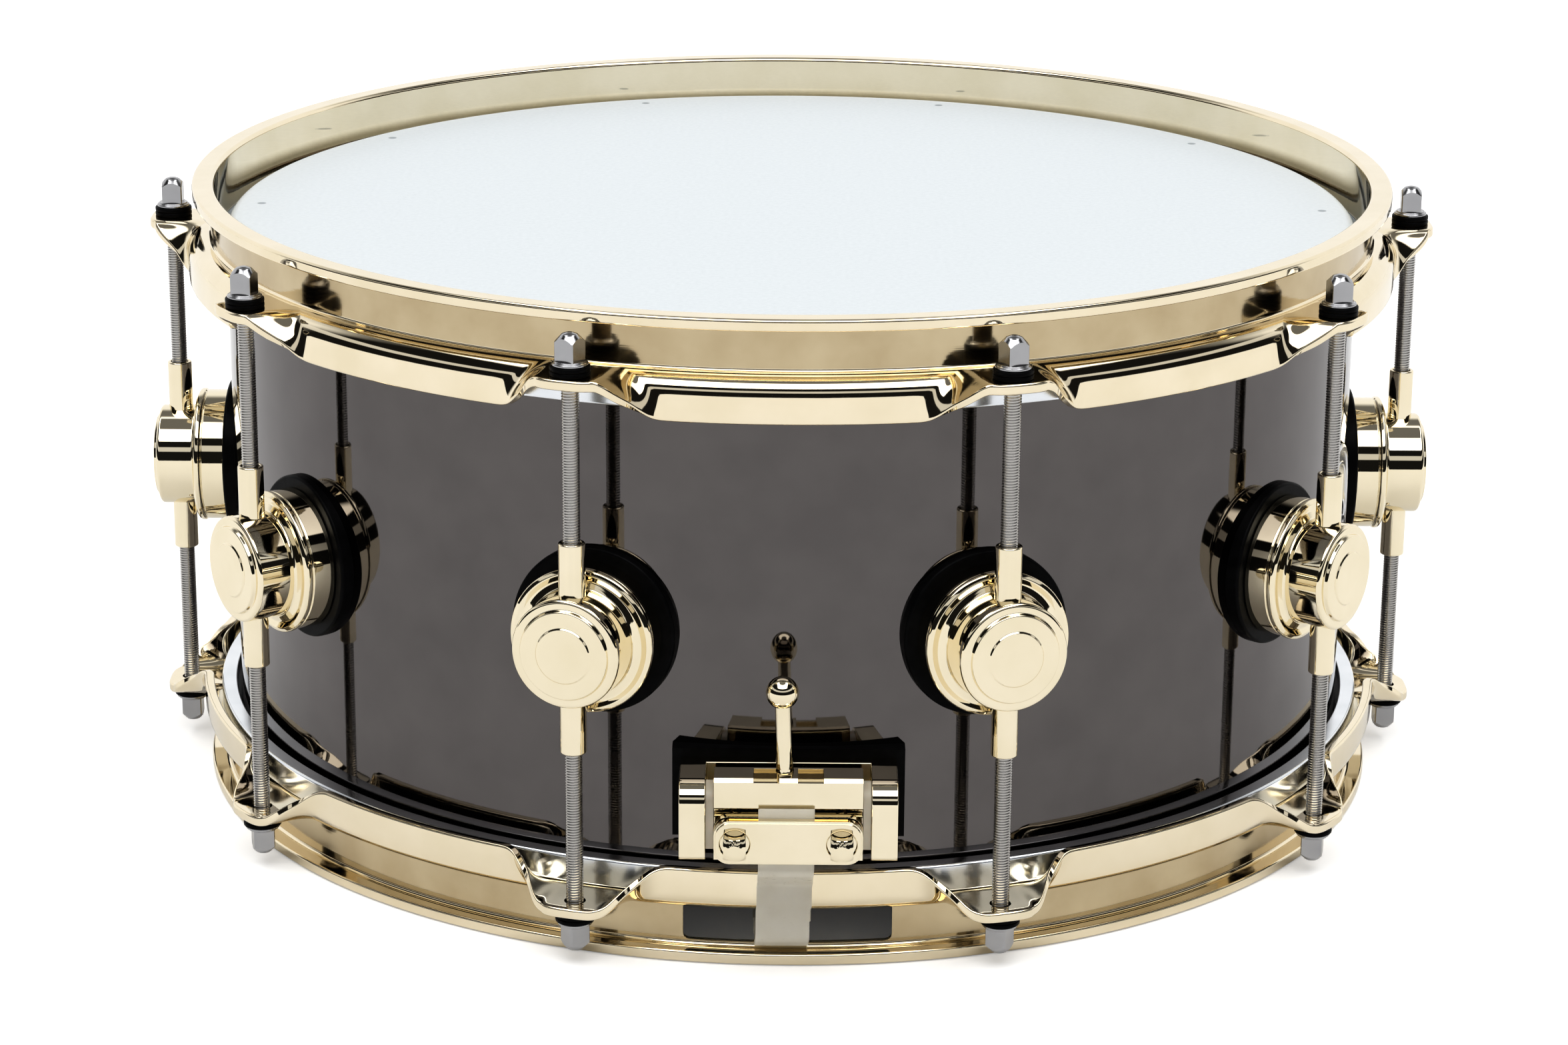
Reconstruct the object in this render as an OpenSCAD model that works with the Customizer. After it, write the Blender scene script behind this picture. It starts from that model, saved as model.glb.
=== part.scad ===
// Snare drum: a thin metal shell with ten turned lugs, two flanged hoops, two heads,
// a lever-operated snare clamp at the front and a screw-adjusted one at the back.
// Millimetres, +Z up, the front towards -Y, the origin under the middle of the lower rim.

/* [Shell] */
// Outer diameter of the shell
shell_d = 355.6; // [354:0.2:358]
// Height of the shell between its two bearing edges
shell_h = 165.1; // [160:0.1:172]
// Thickness of the shell's metal
shell_wall = 1.2; // [1:0.1:1.5]
// Diameter of the air vent through the shell
vent_d = 10; // [8:0.5:11]
// Where the badge sits, in degrees round from the front
badge_angle = 72; // [70:1:74]
// Diameter of the badge
badge_d = 43; // [36:1:46]

/* [Hoops] */
// How far each rim stands past the shell's bearing edge
rim_rise = 12.85; // [12:0.05:14]
// Thickness of the hoops' bent steel
hoop_t = 3; // [2.6:0.1:3]
// How far the rim's lip reaches out past the hoop's wall
lip_reach = 5.4; // [4:0.1:6]
// Width of the flat ear at each tension rod
ear_w = 20; // [18:0.5:22]
// Width of the openings that the snare straps pass through
gate_w = 60; // [56:1:62]

/* [Tuning] */
// How many lugs stand round the shell
lug_count = 10; // [10]
// Distance of the tension rods from the drum's axis, past the shell's surface
rod_reach = 18.2; // [18:0.1:18.6]
// Diameter of a tension rod
rod_d = 5; // [4.8:0.1:5]
// Width across the flats of a rod's key head
key_w = 6.3; // [6:0.1:6.4]
// Diameter of a lug's tower
tower_d = 31.8; // [30:0.2:32]
// Diameter of a lug's bead ring
bead_d = 42.6; // [41:0.2:43]
// Diameter of the rubber gasket under a lug
lug_gasket_d = 49; // [47:0.5:50]

/* [Snare clamps] */
// Height of the lever's pivot below the middle of the shell
pivot_drop = 41.1; // [40.6:0.1:41.4]
// Distance of the lever's pivot from the shell's surface
pivot_reach = 18.7; // [18.5:0.1:18.9]
// Width of the two clamp jaws
jaw_w = 41.6; // [40:0.2:41.6]
// Width of the snare straps
strap_w = 15.5; // [14:0.5:16]
// How many wires the snares have
wire_count = 20; // [16:2:24]

/* [Hidden] */
// Running clearance between a turning or sliding piece and the one that holds it
run_gap = 0.05;
// Clearance between two pieces that only lie against each other
rest_gap = 0.05;
$fn = 96;

shell_r = shell_d / 2;
half_h = shell_h / 2;
rim_z = half_h + rim_rise;
wall_in_r = shell_r + 1.8;
wall_out_r = wall_in_r + hoop_t;
lip_r = wall_out_r + lip_reach;
lip_t = 3.5;
flange_top_z = half_h - 3.35;
flange_under_z = flange_top_z - hoop_t;
skirt_r = shell_r + 12.2;
skirt_z = half_h - 16.65;
rod_r = shell_r + rod_reach;
rod_rad = rod_d / 2;
rod_hole_r = 3.1;
ear_r = rod_r + 7;
scallop_w = 11;
gate_low_z = flange_top_z - 3;
gate_high_z = half_h + 6.65;

washer_r = 5.7;
washer_t = 1.35;
head_seat_z = flange_top_z + 2 * washer_t + 2 * rest_gap;
key_base_z = head_seat_z + 1.3;
key_tip_z = rim_z - 4.2;

gasket_r = shell_r + 2.4;
lug_face_r = shell_r + 26.3;
sleeve_r = 3.8;
sleeve_z = 31;
rod_end_z = 9;
lug_screw_z = 12.5;
screw_head_r = 3.8;

film_t = 0.3;

pivot_y = -(shell_r + pivot_reach);
pivot_z = -pivot_drop;
pin_r = 2;
clamp_back_y = -(shell_r + 2.3);
plate_front_y = clamp_back_y - 4.4;
plate_w = 61.2;
ear_in_x = 23.2;
ear_out_x = 30.6;
ear_front_y = pivot_y - 6.6;
clamp_foot_z = pivot_z - 15.8;
jaw_half = jaw_w / 2;
jaw_top_z = pivot_z - 2.2;
jaw_foot_z = pivot_z - 15;
back_jaw_y = pivot_y - 4.8;
back_jaw_t = 2.8;
strap_y = pivot_y - 8.05;
strap_t = 0.8;
front_jaw_y = strap_y - strap_t / 2 - rest_gap;
front_jaw_t = 3;
screw_x = 14.9;
screw_z = pivot_z - 8.9;
mount_screw_x = 15;
mount_screw_z = pivot_z + 1;
lever_lean = 2;
ball_rise = 31.6;
ball_r = 4.45;

knob_y = pivot_y + 3;
stem_r = 2.5;
shelf_top_z = pivot_z + 6.6;
shelf_t = 3;

wire_r = 0.9;
wire_pitch = 2.4;
wire_half = 154;
wire_z = -(half_h + film_t + rest_gap + wire_r + 0.3);
end_plate_len = 10;
end_plate_w = wire_count * wire_pitch + 4;
end_plate_t = 1.2;
end_plate_z = wire_z - wire_r - rest_gap;

function lug_angle(i) = 180 / lug_count + i * 360 / lug_count;
function two_digits(i) = i < 9 ? str("0", i + 1) : str(i + 1);
function rod_name(side, i) = str(side, "_rod_", two_digits(i));
function arc(cx, cy, r, from, to, steps = 6) =
    [for (k = [0 : steps]) let (a = from + (to - from) * k / steps) [cx + r * cos(a), cy + r * sin(a)]];
function screw_seat(x) = sqrt(pow(shell_r - shell_wall, 2) - pow(x + screw_head_r, 2)) - 0.1;
function smooth(t) = t * t * (3 - 2 * t);
function round_rect(w, low, high, r) = concat(
    arc(-w / 2 + r, low + r, r, 180, 270),
    arc(w / 2 - r, low + r, r, 270, 360),
    arc(w / 2 - r, high - r, r, 0, 90),
    arc(-w / 2 + r, high - r, r, 90, 180)
);

gold = [0.93, 0.79, 0.5];
dark_nickel = [0.24, 0.23, 0.23];
steel = [0.75, 0.75, 0.76];

// --- placing -----------------------------------------------------------------------------

// Lifts a shape drawn about the middle of the shell to where the drum stands on its lower rim.
module stand() {
    translate([0, 0, rim_z]) children();
}

// Turns a shape drawn at the front (-Y) round to lug number i.
module at_lug(i) {
    rotate([0, 0, lug_angle(i)]) children();
}

module at_every_lug() {
    for (i = [0 : lug_count - 1]) at_lug(i) children();
}

// Turns a shape about an axis that points straight out of the drum's front; the outline's x is
// the radius about that axis and its y is the distance from the drum's own axis.
module turned_outward(outline) {
    rotate([90, 0, 0]) rotate_extrude() polygon(outline);
}

// A rod of radius r that points straight out of the drum's front, between two distances.
module outward_rod(r, from, to) {
    rotate([90, 0, 0]) translate([0, 0, from]) cylinder(h = to - from, r = r);
}

// Extrudes an outline drawn in (y, z) along X between two places.
module across(from, to) {
    translate([from, 0, 0]) rotate([90, 0, 90]) linear_extrude(to - from) children();
}

// Extrudes an outline drawn in (x, z) outwards between two distances from the drum's axis.
module outward(from, to) {
    rotate([90, 0, 0]) translate([0, 0, from]) linear_extrude(to - from) children();
}

// A box between two corners.
module block(low, high) {
    translate(low) cube(high - low);
}

module both_ways() {
    children();
    mirror([0, 0, 1]) children();
}

module both_sides() {
    children();
    mirror([1, 0, 0]) children();
}

// --- shell and what is fixed to it --------------------------------------------------------

module shell_section() {
    edge = 3.4;
    polygon(concat(
        [[shell_r, -half_h + edge], [shell_r, half_h - edge], [shell_r - 2, half_h], [shell_r - 4.2, half_h]],
        [[shell_r - 4.2, half_h - 1], [shell_r - 2.6, half_h - 1.2]],
        [[shell_r - shell_wall, half_h - edge - 0.6]],
        [[shell_r - shell_wall, -half_h + edge + 0.6], [shell_r - 2.6, -half_h + 1.2]],
        [[shell_r - 4.2, -half_h + 1], [shell_r - 4.2, -half_h], [shell_r - 2, -half_h]]
    ));
}

// The shallow dip across the lower edge, front and back, that the snare straps lie over.
module snare_bed() {
    bed_depth = 1;
    bed_r = 600;
    translate([0, 0, -half_h - bed_r + bed_depth]) rotate([90, 0, 0])
        cylinder(h = 2 * shell_r + 20, r = bed_r, center = true, $fn = 360);
}

module shell() {
    color(dark_nickel) stand() difference() {
        rotate_extrude($fn = 240) shell_section();
        snare_bed();
        at_every_lug() both_ways() translate([0, 0, lug_screw_z]) outward_rod(2.2, shell_r - 20, shell_r + 5);
        for (turn = [0, 180]) rotate([0, 0, turn]) both_sides()
            translate([mount_screw_x, 0, mount_screw_z]) outward_rod(2.2, shell_r - 20, shell_r + 5);
        rotate([0, 0, badge_angle]) outward_rod(vent_d / 2 + rest_gap, shell_r - 20, shell_r + 5);
    }
}

// A disc bent round the shell: what a round bar cuts out of a ring that lies on it.
module curved_disc(r, from, to) {
    intersection() {
        outward_rod(r, shell_r - 12, shell_r + 6);
        difference() {
            cylinder(h = 3 * r, r = to, center = true, $fn = 240);
            cylinder(h = 4 * r, r = from, center = true, $fn = 240);
        }
    }
}

module badge() {
    color(steel) stand() rotate([0, 0, badge_angle]) difference() {
        curved_disc(badge_d / 2, shell_r + 0.05, shell_r + 0.95);
        outward_rod(vent_d / 2 + rest_gap, shell_r - 20, shell_r + 10);
    }
}

module vent_grommet() {
    barrel_r = vent_d / 2;
    bore_r = barrel_r - 1;
    flange_r = barrel_r + 2.4;
    out = shell_r + 1.05;
    inside = shell_r - shell_wall - 0.3;
    color(steel) stand() rotate([0, 0, badge_angle]) turned_outward([
        [bore_r, inside - 1], [flange_r - 0.8, inside - 1], [flange_r - 0.8, inside], [barrel_r, inside],
        [barrel_r, out], [flange_r, out], [flange_r - 0.4, out + 0.7],
        [bore_r + 0.5, out + 1.1], [bore_r, out + 0.8]
    ]);
}

module lug_gaskets() {
    r = lug_gasket_d / 2;
    color([0.03, 0.03, 0.03]) stand() at_every_lug() difference() {
        turned_outward([
            [0, shell_r - 4], [r, shell_r - 4], [r, gasket_r - 0.6], [r - 0.6, gasket_r], [0, gasket_r]
        ]);
        cylinder(h = 3 * r, r = shell_r + 0.02, center = true, $fn = 240);
        both_ways() translate([0, 0, lug_screw_z]) outward_rod(2.2, shell_r - 10, shell_r + 10);
    }
}

// The lug's turned outline: base, groove, bead ring, tower, and three steps on the face.
function lug_outline() =
    let (seat = gasket_r + 0.02, bead = bead_d / 2, tower = tower_d / 2, face = lug_face_r)
    concat(
        [[0, seat], [bead - 0.9, seat], [bead - 0.5, seat + 0.4]],
        [[bead - 0.5, seat + 5.2], [bead - 1.1, seat + 5.8]],
        arc(bead - 1.7, seat + 7.6, 1.7, -80, 70, 8),
        [[bead - 2.6, seat + 9.4], [bead - 3.4, seat + 9.1]],
        arc(tower + 1.4, seat + 10.5, 1.1, -80, -170, 4),
        [[tower, seat + 11.2]],
        arc(tower - 0.9, face - 1.7, 0.9, 0, 90),
        [[tower - 3, face - 0.8]],
        arc(tower - 3.5, face - 0.9, 0.5, 0, 90, 3),
        [[tower - 8.2, face - 0.4]],
        arc(tower - 8.7, face - 0.4, 0.4, 0, 90, 3),
        [[0, face]]
    );

module lug_bodies() {
    color(gold) stand() at_every_lug() difference() {
        turned_outward(lug_outline());
        translate([0, -rod_r, 0]) cylinder(h = bead_d, r = sleeve_r + rest_gap, center = true);
        both_ways() translate([0, 0, lug_screw_z]) outward_rod(2, gasket_r - 1, gasket_r + 6.5);
    }
}

module lug_sleeves() {
    inner_z = tower_d / 2 - 6;
    bore = rod_rad + run_gap;
    color(gold) stand() at_every_lug() both_ways() translate([0, -rod_r, 0]) rotate_extrude() polygon([
        [bore, inner_z], [sleeve_r, inner_z], [sleeve_r, sleeve_z - 0.8],
        [sleeve_r - 0.8, sleeve_z], [bore, sleeve_z]
    ]);
}

// A pan-head screw driven outwards from inside the shell, from where its head sits.
module inside_screw(seat, shank_end) {
    turned_outward([
        [0, seat - 2.8], [2.4, seat - 2.7], [screw_head_r, seat - 1.6], [screw_head_r, seat],
        [1.95, seat], [1.95, shank_end], [0, shank_end]
    ]);
}

module lug_mount_screws() {
    color(steel) stand() at_every_lug() both_ways()
        translate([0, 0, lug_screw_z]) inside_screw(screw_seat(0), gasket_r + 6);
}

// --- heads --------------------------------------------------------------------------------

// The drumhead's film: flat over the edge, down outside the shell, and hooked into its hoop.
module film_section() {
    over = half_h + 0.1;
    collar = shell_r + 0.6;
    polygon([
        [0, over], [shell_r - 2, over], [collar, over - 3], [collar, flange_under_z - 1.6],
        [collar + 2.6, flange_under_z - 3.2], [collar + 2.6, flange_under_z - 6.4],
        [collar + 2.9, flange_under_z - 6.4], [collar + 2.9, flange_under_z - 3],
        [collar + film_t, flange_under_z - 1.3], [collar + film_t, over - 2.9],
        [shell_r - 1.9, over + film_t], [0, over + film_t]
    ]);
}

// The aluminium channel that the film is crimped into, pressed down by the hoop's flange.
module flesh_hoop_section() {
    inner = shell_r + 1.5;
    outer = shell_r + 6.4;
    top = flange_under_z - rest_gap;
    low = flange_under_z - 8.5;
    polygon([
        [inner, low], [outer - 0.6, low], [outer, low + 0.6],
        [outer, top - 0.6], [outer - 0.6, top], [outer - 1.6, top],
        [outer - 1.6, low + 1.5], [inner + 1, low + 1.5], [inner + 1, low + 4.2], [inner, low + 4.2]
    ]);
}

module batter_head_film() {
    color([0.95, 0.96, 0.97]) stand() rotate_extrude($fn = 240) film_section();
}

module batter_flesh_hoop() {
    color(steel) stand() rotate_extrude($fn = 240) flesh_hoop_section();
}

module snare_head_film() {
    color([0.7, 0.72, 0.74]) stand() mirror([0, 0, 1]) rotate_extrude($fn = 240) film_section();
}

module snare_flesh_hoop() {
    color(steel) stand() mirror([0, 0, 1]) rotate_extrude($fn = 240) flesh_hoop_section();
}

// --- hoops --------------------------------------------------------------------------------

// The section of the bent steel above its shoulder: the rim's lip and the wall.
module rim_section() {
    fillet = 1;
    polygon(concat(
        [[wall_in_r, flange_top_z]],
        arc(wall_in_r + 1.4, rim_z - 1.4, 1.4, 180, 90, 4),
        arc(lip_r - 1.4, rim_z - 1.4, 1.4, 90, 0, 4),
        arc(lip_r - 1.4, rim_z - lip_t + 1.4, 1.4, 0, -90, 4),
        arc(wall_out_r + fillet, rim_z - lip_t - fillet, fillet, 90, 180, 3),
        [[wall_out_r, flange_top_z]]
    ));
}

// The section below it: the flat flange and the skirt.
module skirt_section() {
    bend = 3.6;
    polygon(concat(
        [[wall_in_r, flange_under_z], [wall_in_r, flange_top_z]],
        arc(skirt_r - bend, flange_top_z - bend, bend, 90, 0, 5),
        [[skirt_r, skirt_z + 0.6], [skirt_r - 0.6, skirt_z]],
        [[skirt_r - hoop_t, skirt_z], [skirt_r - hoop_t, flange_under_z - 0.8]],
        [[skirt_r - hoop_t - 0.8, flange_under_z]]
    ));
}

// What is left out of the skirt at an ear: an opening with swept sides.
module skirt_window() {
    steps = 8;
    side = [for (k = [0 : steps]) let (t = k / steps) [
        ear_w / 2 + scallop_w * (1 - t),
        skirt_z - 0.1 + (flange_under_z - skirt_z + 0.1) * smooth(t)
    ]];
    flipped = [for (k = [steps : -1 : 0]) [-side[k][0], side[k][1]]];
    outward(skirt_r - hoop_t - 4, skirt_r + 4) polygon(concat(
        [[ear_w / 2 + scallop_w, skirt_z - 5]], side, flipped, [[-ear_w / 2 - scallop_w, skirt_z - 5]]
    ));
}

// The flat ear that a tension rod's head pulls on.
module hoop_ear() {
    corner = 7;
    root = -(skirt_r - 3);
    translate([0, 0, flange_under_z]) linear_extrude(hoop_t) polygon(concat(
        [[-ear_w / 2 - 4, root], [-ear_w / 2 - 2.4, -skirt_r + 0.6], [-ear_w / 2, -skirt_r - 3]],
        arc(-ear_w / 2 + corner, -ear_r + corner, corner, 180, 270),
        arc(ear_w / 2 - corner, -ear_r + corner, corner, 270, 360),
        [[ear_w / 2, -skirt_r - 3], [ear_w / 2 + 2.4, -skirt_r + 0.6], [ear_w / 2 + 4, root]]
    ));
}

module hoop_rim() {
    rotate_extrude($fn = 240) rim_section();
}

module hoop_skirt() {
    difference() {
        union() {
            difference() {
                rotate_extrude($fn = 240) skirt_section();
                at_every_lug() skirt_window();
            }
            at_every_lug() hoop_ear();
        }
        at_every_lug() translate([0, -rod_r, flange_under_z - 1]) cylinder(h = hoop_t + 2, r = rod_hole_r);
    }
}

module top_hoop_rim() {
    color(gold) stand() hoop_rim();
}

module top_hoop_skirt() {
    color(gold) stand() hoop_skirt();
}

// The lower rim has a gate front and back that the snare straps pass through.
module bottom_hoop_rim() {
    color(gold) stand() mirror([0, 0, 1]) difference() {
        hoop_rim();
        for (turn = [0, 180]) rotate([0, 0, turn])
            outward(wall_in_r - 5, wall_out_r + 1.5)
                polygon(round_rect(gate_w, gate_low_z, gate_high_z, 1.6));
    }
}

module bottom_hoop_skirt() {
    color(gold) stand() mirror([0, 0, 1]) hoop_skirt();
}

// --- tension rods -------------------------------------------------------------------------

// Two stacked washers under a rod's head.
module rod_washers() {
    bore = rod_rad + run_gap;
    for (k = [0, 1]) translate([0, -rod_r, flange_top_z + rest_gap / 2 + k * (washer_t + rest_gap)])
        rotate_extrude() polygon([
            [bore, 0], [washer_r - 0.3, 0], [washer_r, 0.3],
            [washer_r, washer_t - 0.3], [washer_r - 0.3, washer_t], [bore, washer_t]
        ]);
}

module top_rod_washers() {
    color([0.04, 0.04, 0.04]) stand() at_every_lug() rod_washers();
}

module bottom_rod_washers() {
    color([0.04, 0.04, 0.04]) stand() mirror([0, 0, 1]) at_every_lug() rod_washers();
}

// A rod with a round flange and a square, domed head for a drum key.
module tension_rod(turn) {
    translate([0, -rod_r, 0]) {
        rotate_extrude() polygon([
            [0, rod_end_z], [rod_rad - 0.6, rod_end_z], [rod_rad, rod_end_z + 0.6], [rod_rad, head_seat_z],
            [5.1, head_seat_z], [5.1, head_seat_z + 0.7], [4.6, key_base_z], [0, key_base_z]
        ]);
        rotate([0, 0, turn]) intersection() {
            block([-key_w / 2, -key_w / 2, key_base_z - 0.5], [key_w / 2, key_w / 2, key_tip_z]);
            rotate_extrude() polygon([
                [0, key_base_z - 1], [4.3, key_base_z - 1], [4.3, key_tip_z - 2.4],
                [3.3, key_tip_z - 1.3], [1.3, key_tip_z], [0, key_tip_z]
            ]);
        }
    }
}

module top_rod(i) {
    color(steel) stand() at_lug(i) tension_rod(12 + 37 * i);
}

module bottom_rod(i) {
    color(steel) stand() mirror([0, 0, 1]) at_lug(i) tension_rod(5 + 53 * i);
}

// --- what both snare clamps share ---------------------------------------------------------

// The black pad between the shell and a clamp's base.
module clamp_gasket() {
    half_w = 33;
    top_z = -32;
    difference() {
        block([-half_w, clamp_back_y + rest_gap, clamp_foot_z - 1.5], [half_w, -(shell_r - 8), top_z]);
        cylinder(h = shell_h, r = shell_r + 0.02, center = true, $fn = 240);
        both_sides() translate([mount_screw_x, 0, mount_screw_z])
            outward_rod(2.2, shell_r - 10, shell_r + 10);
    }
}

// The plate against the gasket, with the screw holes and two upright guide ribs.
module clamp_plate(rib_top) {
    difference() {
        union() {
            block([-plate_w / 2, plate_front_y, clamp_foot_z], [plate_w / 2, clamp_back_y, pivot_z + 6.6]);
            both_sides() block([11, plate_front_y - 2.5, clamp_foot_z], [14, plate_front_y + 0.1, rib_top]);
        }
        both_sides() translate([mount_screw_x, 0, mount_screw_z]) outward_rod(2, shell_r - 10, shell_r + 6);
    }
}

module clamp_mount_screws() {
    both_sides() translate([mount_screw_x, 0, mount_screw_z])
        inside_screw(screw_seat(mount_screw_x), shell_r + 5.6);
}

// The sliding block behind a strap: a foot that runs on the ribs, and the back jaw.
module clamp_carriage(foot_top) {
    difference() {
        union() {
            block(
                [-jaw_half, back_jaw_y - back_jaw_t, jaw_foot_z],
                [jaw_half, plate_front_y - run_gap, foot_top]
            );
            outward(-back_jaw_y, back_jaw_t - back_jaw_y)
                polygon(round_rect(jaw_w, jaw_foot_z, jaw_top_z, 4));
        }
        both_sides() block(
            [11 - run_gap, plate_front_y - 2.5 - run_gap, clamp_foot_z - 10],
            [14 + run_gap, plate_front_y + 1, pivot_z]
        );
        both_sides() translate([screw_x, 0, screw_z]) outward_rod(1.6, -back_jaw_y - 6, -back_jaw_y + 4);
    }
}

// The front jaw: a rounded plate with two recessed pockets for the screws.
module clamp_jaw() {
    face = -front_jaw_y + front_jaw_t;
    difference() {
        union() {
            outward(-front_jaw_y, face - 0.5) polygon(round_rect(jaw_w, jaw_foot_z, jaw_top_z, 4.4));
            outward(face - 0.6, face) polygon(round_rect(jaw_w - 1, jaw_foot_z + 0.5, jaw_top_z - 0.5, 4));
        }
        both_sides() translate([screw_x, 0, screw_z]) {
            outward_rod(1.8, -front_jaw_y - 1, face + 1);
            outward_rod(4.3, face - 1.6, face + 1);
        }
    }
}

module clamp_screws() {
    seat = -front_jaw_y + front_jaw_t - 1.55;
    tip = seat + 7;
    both_sides() translate([screw_x, 0, screw_z]) {
        turned_outward([
            [0, -back_jaw_y - 4], [1.55, -back_jaw_y - 4], [1.55, seat],
            [4, seat], [4, seat + 1], [0, seat + 1]
        ]);
        intersection() {
            outward(seat + 0.5, tip) polygon(round_rect(key_w, -key_w / 2, key_w / 2, 0.4));
            turned_outward([[0, seat], [4.3, seat], [4.3, tip - 2], [3.2, tip - 0.8], [1.4, tip], [0, tip]]);
        }
    }
}

// A strap's outline in (y, z): down through the clamp, in front of the skirt, in through the gate.
module strap_outline() {
    t = strap_t / 2;
    path = [
        [strap_y, jaw_top_z + 2.6], [strap_y, jaw_foot_z - 4.6],
        [-(skirt_r + 3.2), -skirt_z - 2.2], [-(skirt_r + 1), -skirt_z - 5],
        [-(skirt_r + 0.8), -flange_under_z - 1.5], [-(skirt_r - 3.4), -flange_top_z - 1.4],
        [-(wall_in_r + 1), end_plate_z + 1],
        [-(shell_r - 4), end_plate_z - end_plate_t - 0.7], [-(wire_half + 1), end_plate_z - end_plate_t - 0.7]
    ];
    normal = [for (k = [0 : len(path) - 1])
        let (a = path[max(k - 1, 0)], b = path[min(k + 1, len(path) - 1)], d = b - a) [-d[1], d[0]] / norm(d)
    ];
    last = len(path) - 1;
    polygon(concat(
        [for (k = [0 : last]) path[k] + normal[k] * t],
        [for (k = [last : -1 : 0]) path[k] - normal[k] * t]
    ));
}

module snare_strap() {
    across(-strap_w / 2, strap_w / 2) strap_outline();
}

// --- front clamp: the lever ---------------------------------------------------------------

module strainer_gasket() {
    color([0.03, 0.03, 0.03]) stand() clamp_gasket();
}

// One cheek's outline in (y, z): a round knuckle about the pivot and a straight front face.
module cheek_outline() {
    polygon(concat(
        [[plate_front_y + 0.5, clamp_foot_z], [ear_front_y + 1, clamp_foot_z]],
        [[ear_front_y, clamp_foot_z + 1]],
        arc(pivot_y, pivot_z, pivot_y - ear_front_y, 180, 90, 10),
        [[plate_front_y + 0.5, pivot_z + 6.6]]
    ));
}

// A hole along the lever's pivot.
module pin_hole(r) {
    translate([0, pivot_y, pivot_z]) rotate([0, 90, 0]) cylinder(h = plate_w + 2, r = r, center = true);
}

module strainer_base() {
    color(gold) stand() difference() {
        union() {
            clamp_plate(pivot_z - 9.4);
            both_sides() across(ear_in_x, ear_out_x) cheek_outline();
        }
        pin_hole(pin_r + 0.01);
    }
}

module strainer_pivot_pin() {
    color(steel) stand() translate([0, pivot_y, pivot_z]) rotate([0, 90, 0])
        cylinder(h = 2 * ear_out_x - 0.6, r = pin_r, center = true);
}

// The white plates that the lever and the sliding clamp run between.
module strainer_nylon_liners() {
    color([0.93, 0.93, 0.9]) stand() both_sides() difference() {
        across(jaw_half + 0.1, ear_in_x - rest_gap) polygon(concat(
            [[pivot_y + 5.6, pivot_z - 12.6], [pivot_y - 5.6, pivot_z - 12.6]],
            arc(pivot_y, pivot_z, 5.6, 180, 0, 12)
        ));
        pin_hole(pin_r + run_gap);
    }
}

// The block that turns on the pin: a barrel, a tall front, and two pockets beside the stem.
module lever_block() {
    barrel = 4.5;
    front = 6.5;
    top = 8.6;
    color(gold) stand() difference() {
        across(-jaw_half, jaw_half) polygon(concat(
            [[pivot_y + 3.5, pivot_z + top - 0.5], [pivot_y + 3, pivot_z + top]],
            [[pivot_y - front + 1, pivot_z + top], [pivot_y - front, pivot_z + top - 1]],
            [[pivot_y - front, pivot_z]],
            arc(pivot_y, pivot_z, barrel, 195, 360, 12)
        ));
        pin_hole(pin_r + run_gap);
        both_sides() {
            block([2.6, pivot_y - front + 1.2, pivot_z + top - 3.5], [9.8, pivot_y + 2, pivot_z + top + 1]);
            block(
                [2.6, pivot_y - front - 1, pivot_z + top - 1.1],
                [9.8, pivot_y - front + 2, pivot_z + top + 1]
            );
        }
        stem_place() cylinder(h = 30, r = 2.15 + 0.01);
    }
}

// Where the lever's stem stands: in the block above the pivot, leaning a little to one side.
module stem_place() {
    translate([-0.9, pivot_y, pivot_z + 3.4]) rotate([0, -lever_lean, 0]) children();
}

module lever_stem() {
    color(gold) stand() stem_place() cylinder(h = ball_rise - 3.4 - 3.6, r = 2.15);
}

module lever_ball() {
    up = ball_rise - 3.4;
    color(gold) stand() stem_place() difference() {
        translate([0, 0, up]) sphere(r = ball_r);
        translate([0, 0, up - 6]) cylinder(h = 6 - 3.6 + 0.02, r = 3);
    }
}

module strainer_carriage() {
    color(gold) stand() clamp_carriage(pivot_z - 9);
}

module strainer_clamp_jaw() {
    color(gold) stand() clamp_jaw();
}

module strainer_clamp_screws() {
    color(gold) stand() clamp_screws();
}

module strainer_mount_screws() {
    color(steel) stand() clamp_mount_screws();
}

module snare_strap_front() {
    color([0.9, 0.9, 0.88]) stand() snare_strap();
}

// --- back clamp: the adjuster knob --------------------------------------------------------

module at_back() {
    rotate([0, 0, 180]) children();
}

module butt_gasket() {
    color([0.03, 0.03, 0.03]) stand() at_back() clamp_gasket();
}

module butt_base() {
    color(gold) stand() at_back() difference() {
        union() {
            clamp_plate(shelf_top_z - 1);
            block(
                [-plate_w / 2, knob_y - 7, shelf_top_z - shelf_t],
                [plate_w / 2, plate_front_y + 0.5, shelf_top_z]
            );
            both_sides() across(ear_in_x, ear_out_x) cheek_outline();
        }
        translate([0, knob_y, shelf_top_z - shelf_t - 1]) cylinder(h = shelf_t + 2, r = stem_r + run_gap);
    }
}

module butt_carriage() {
    color(gold) stand() at_back() difference() {
        clamp_carriage(pivot_z - 3);
        translate([0, knob_y, jaw_foot_z - 1]) cylinder(h = 20, r = stem_r + run_gap);
    }
}

module butt_clamp_jaw() {
    color(gold) stand() at_back() clamp_jaw();
}

module butt_clamp_screws() {
    color(gold) stand() at_back() clamp_screws();
}

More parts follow.
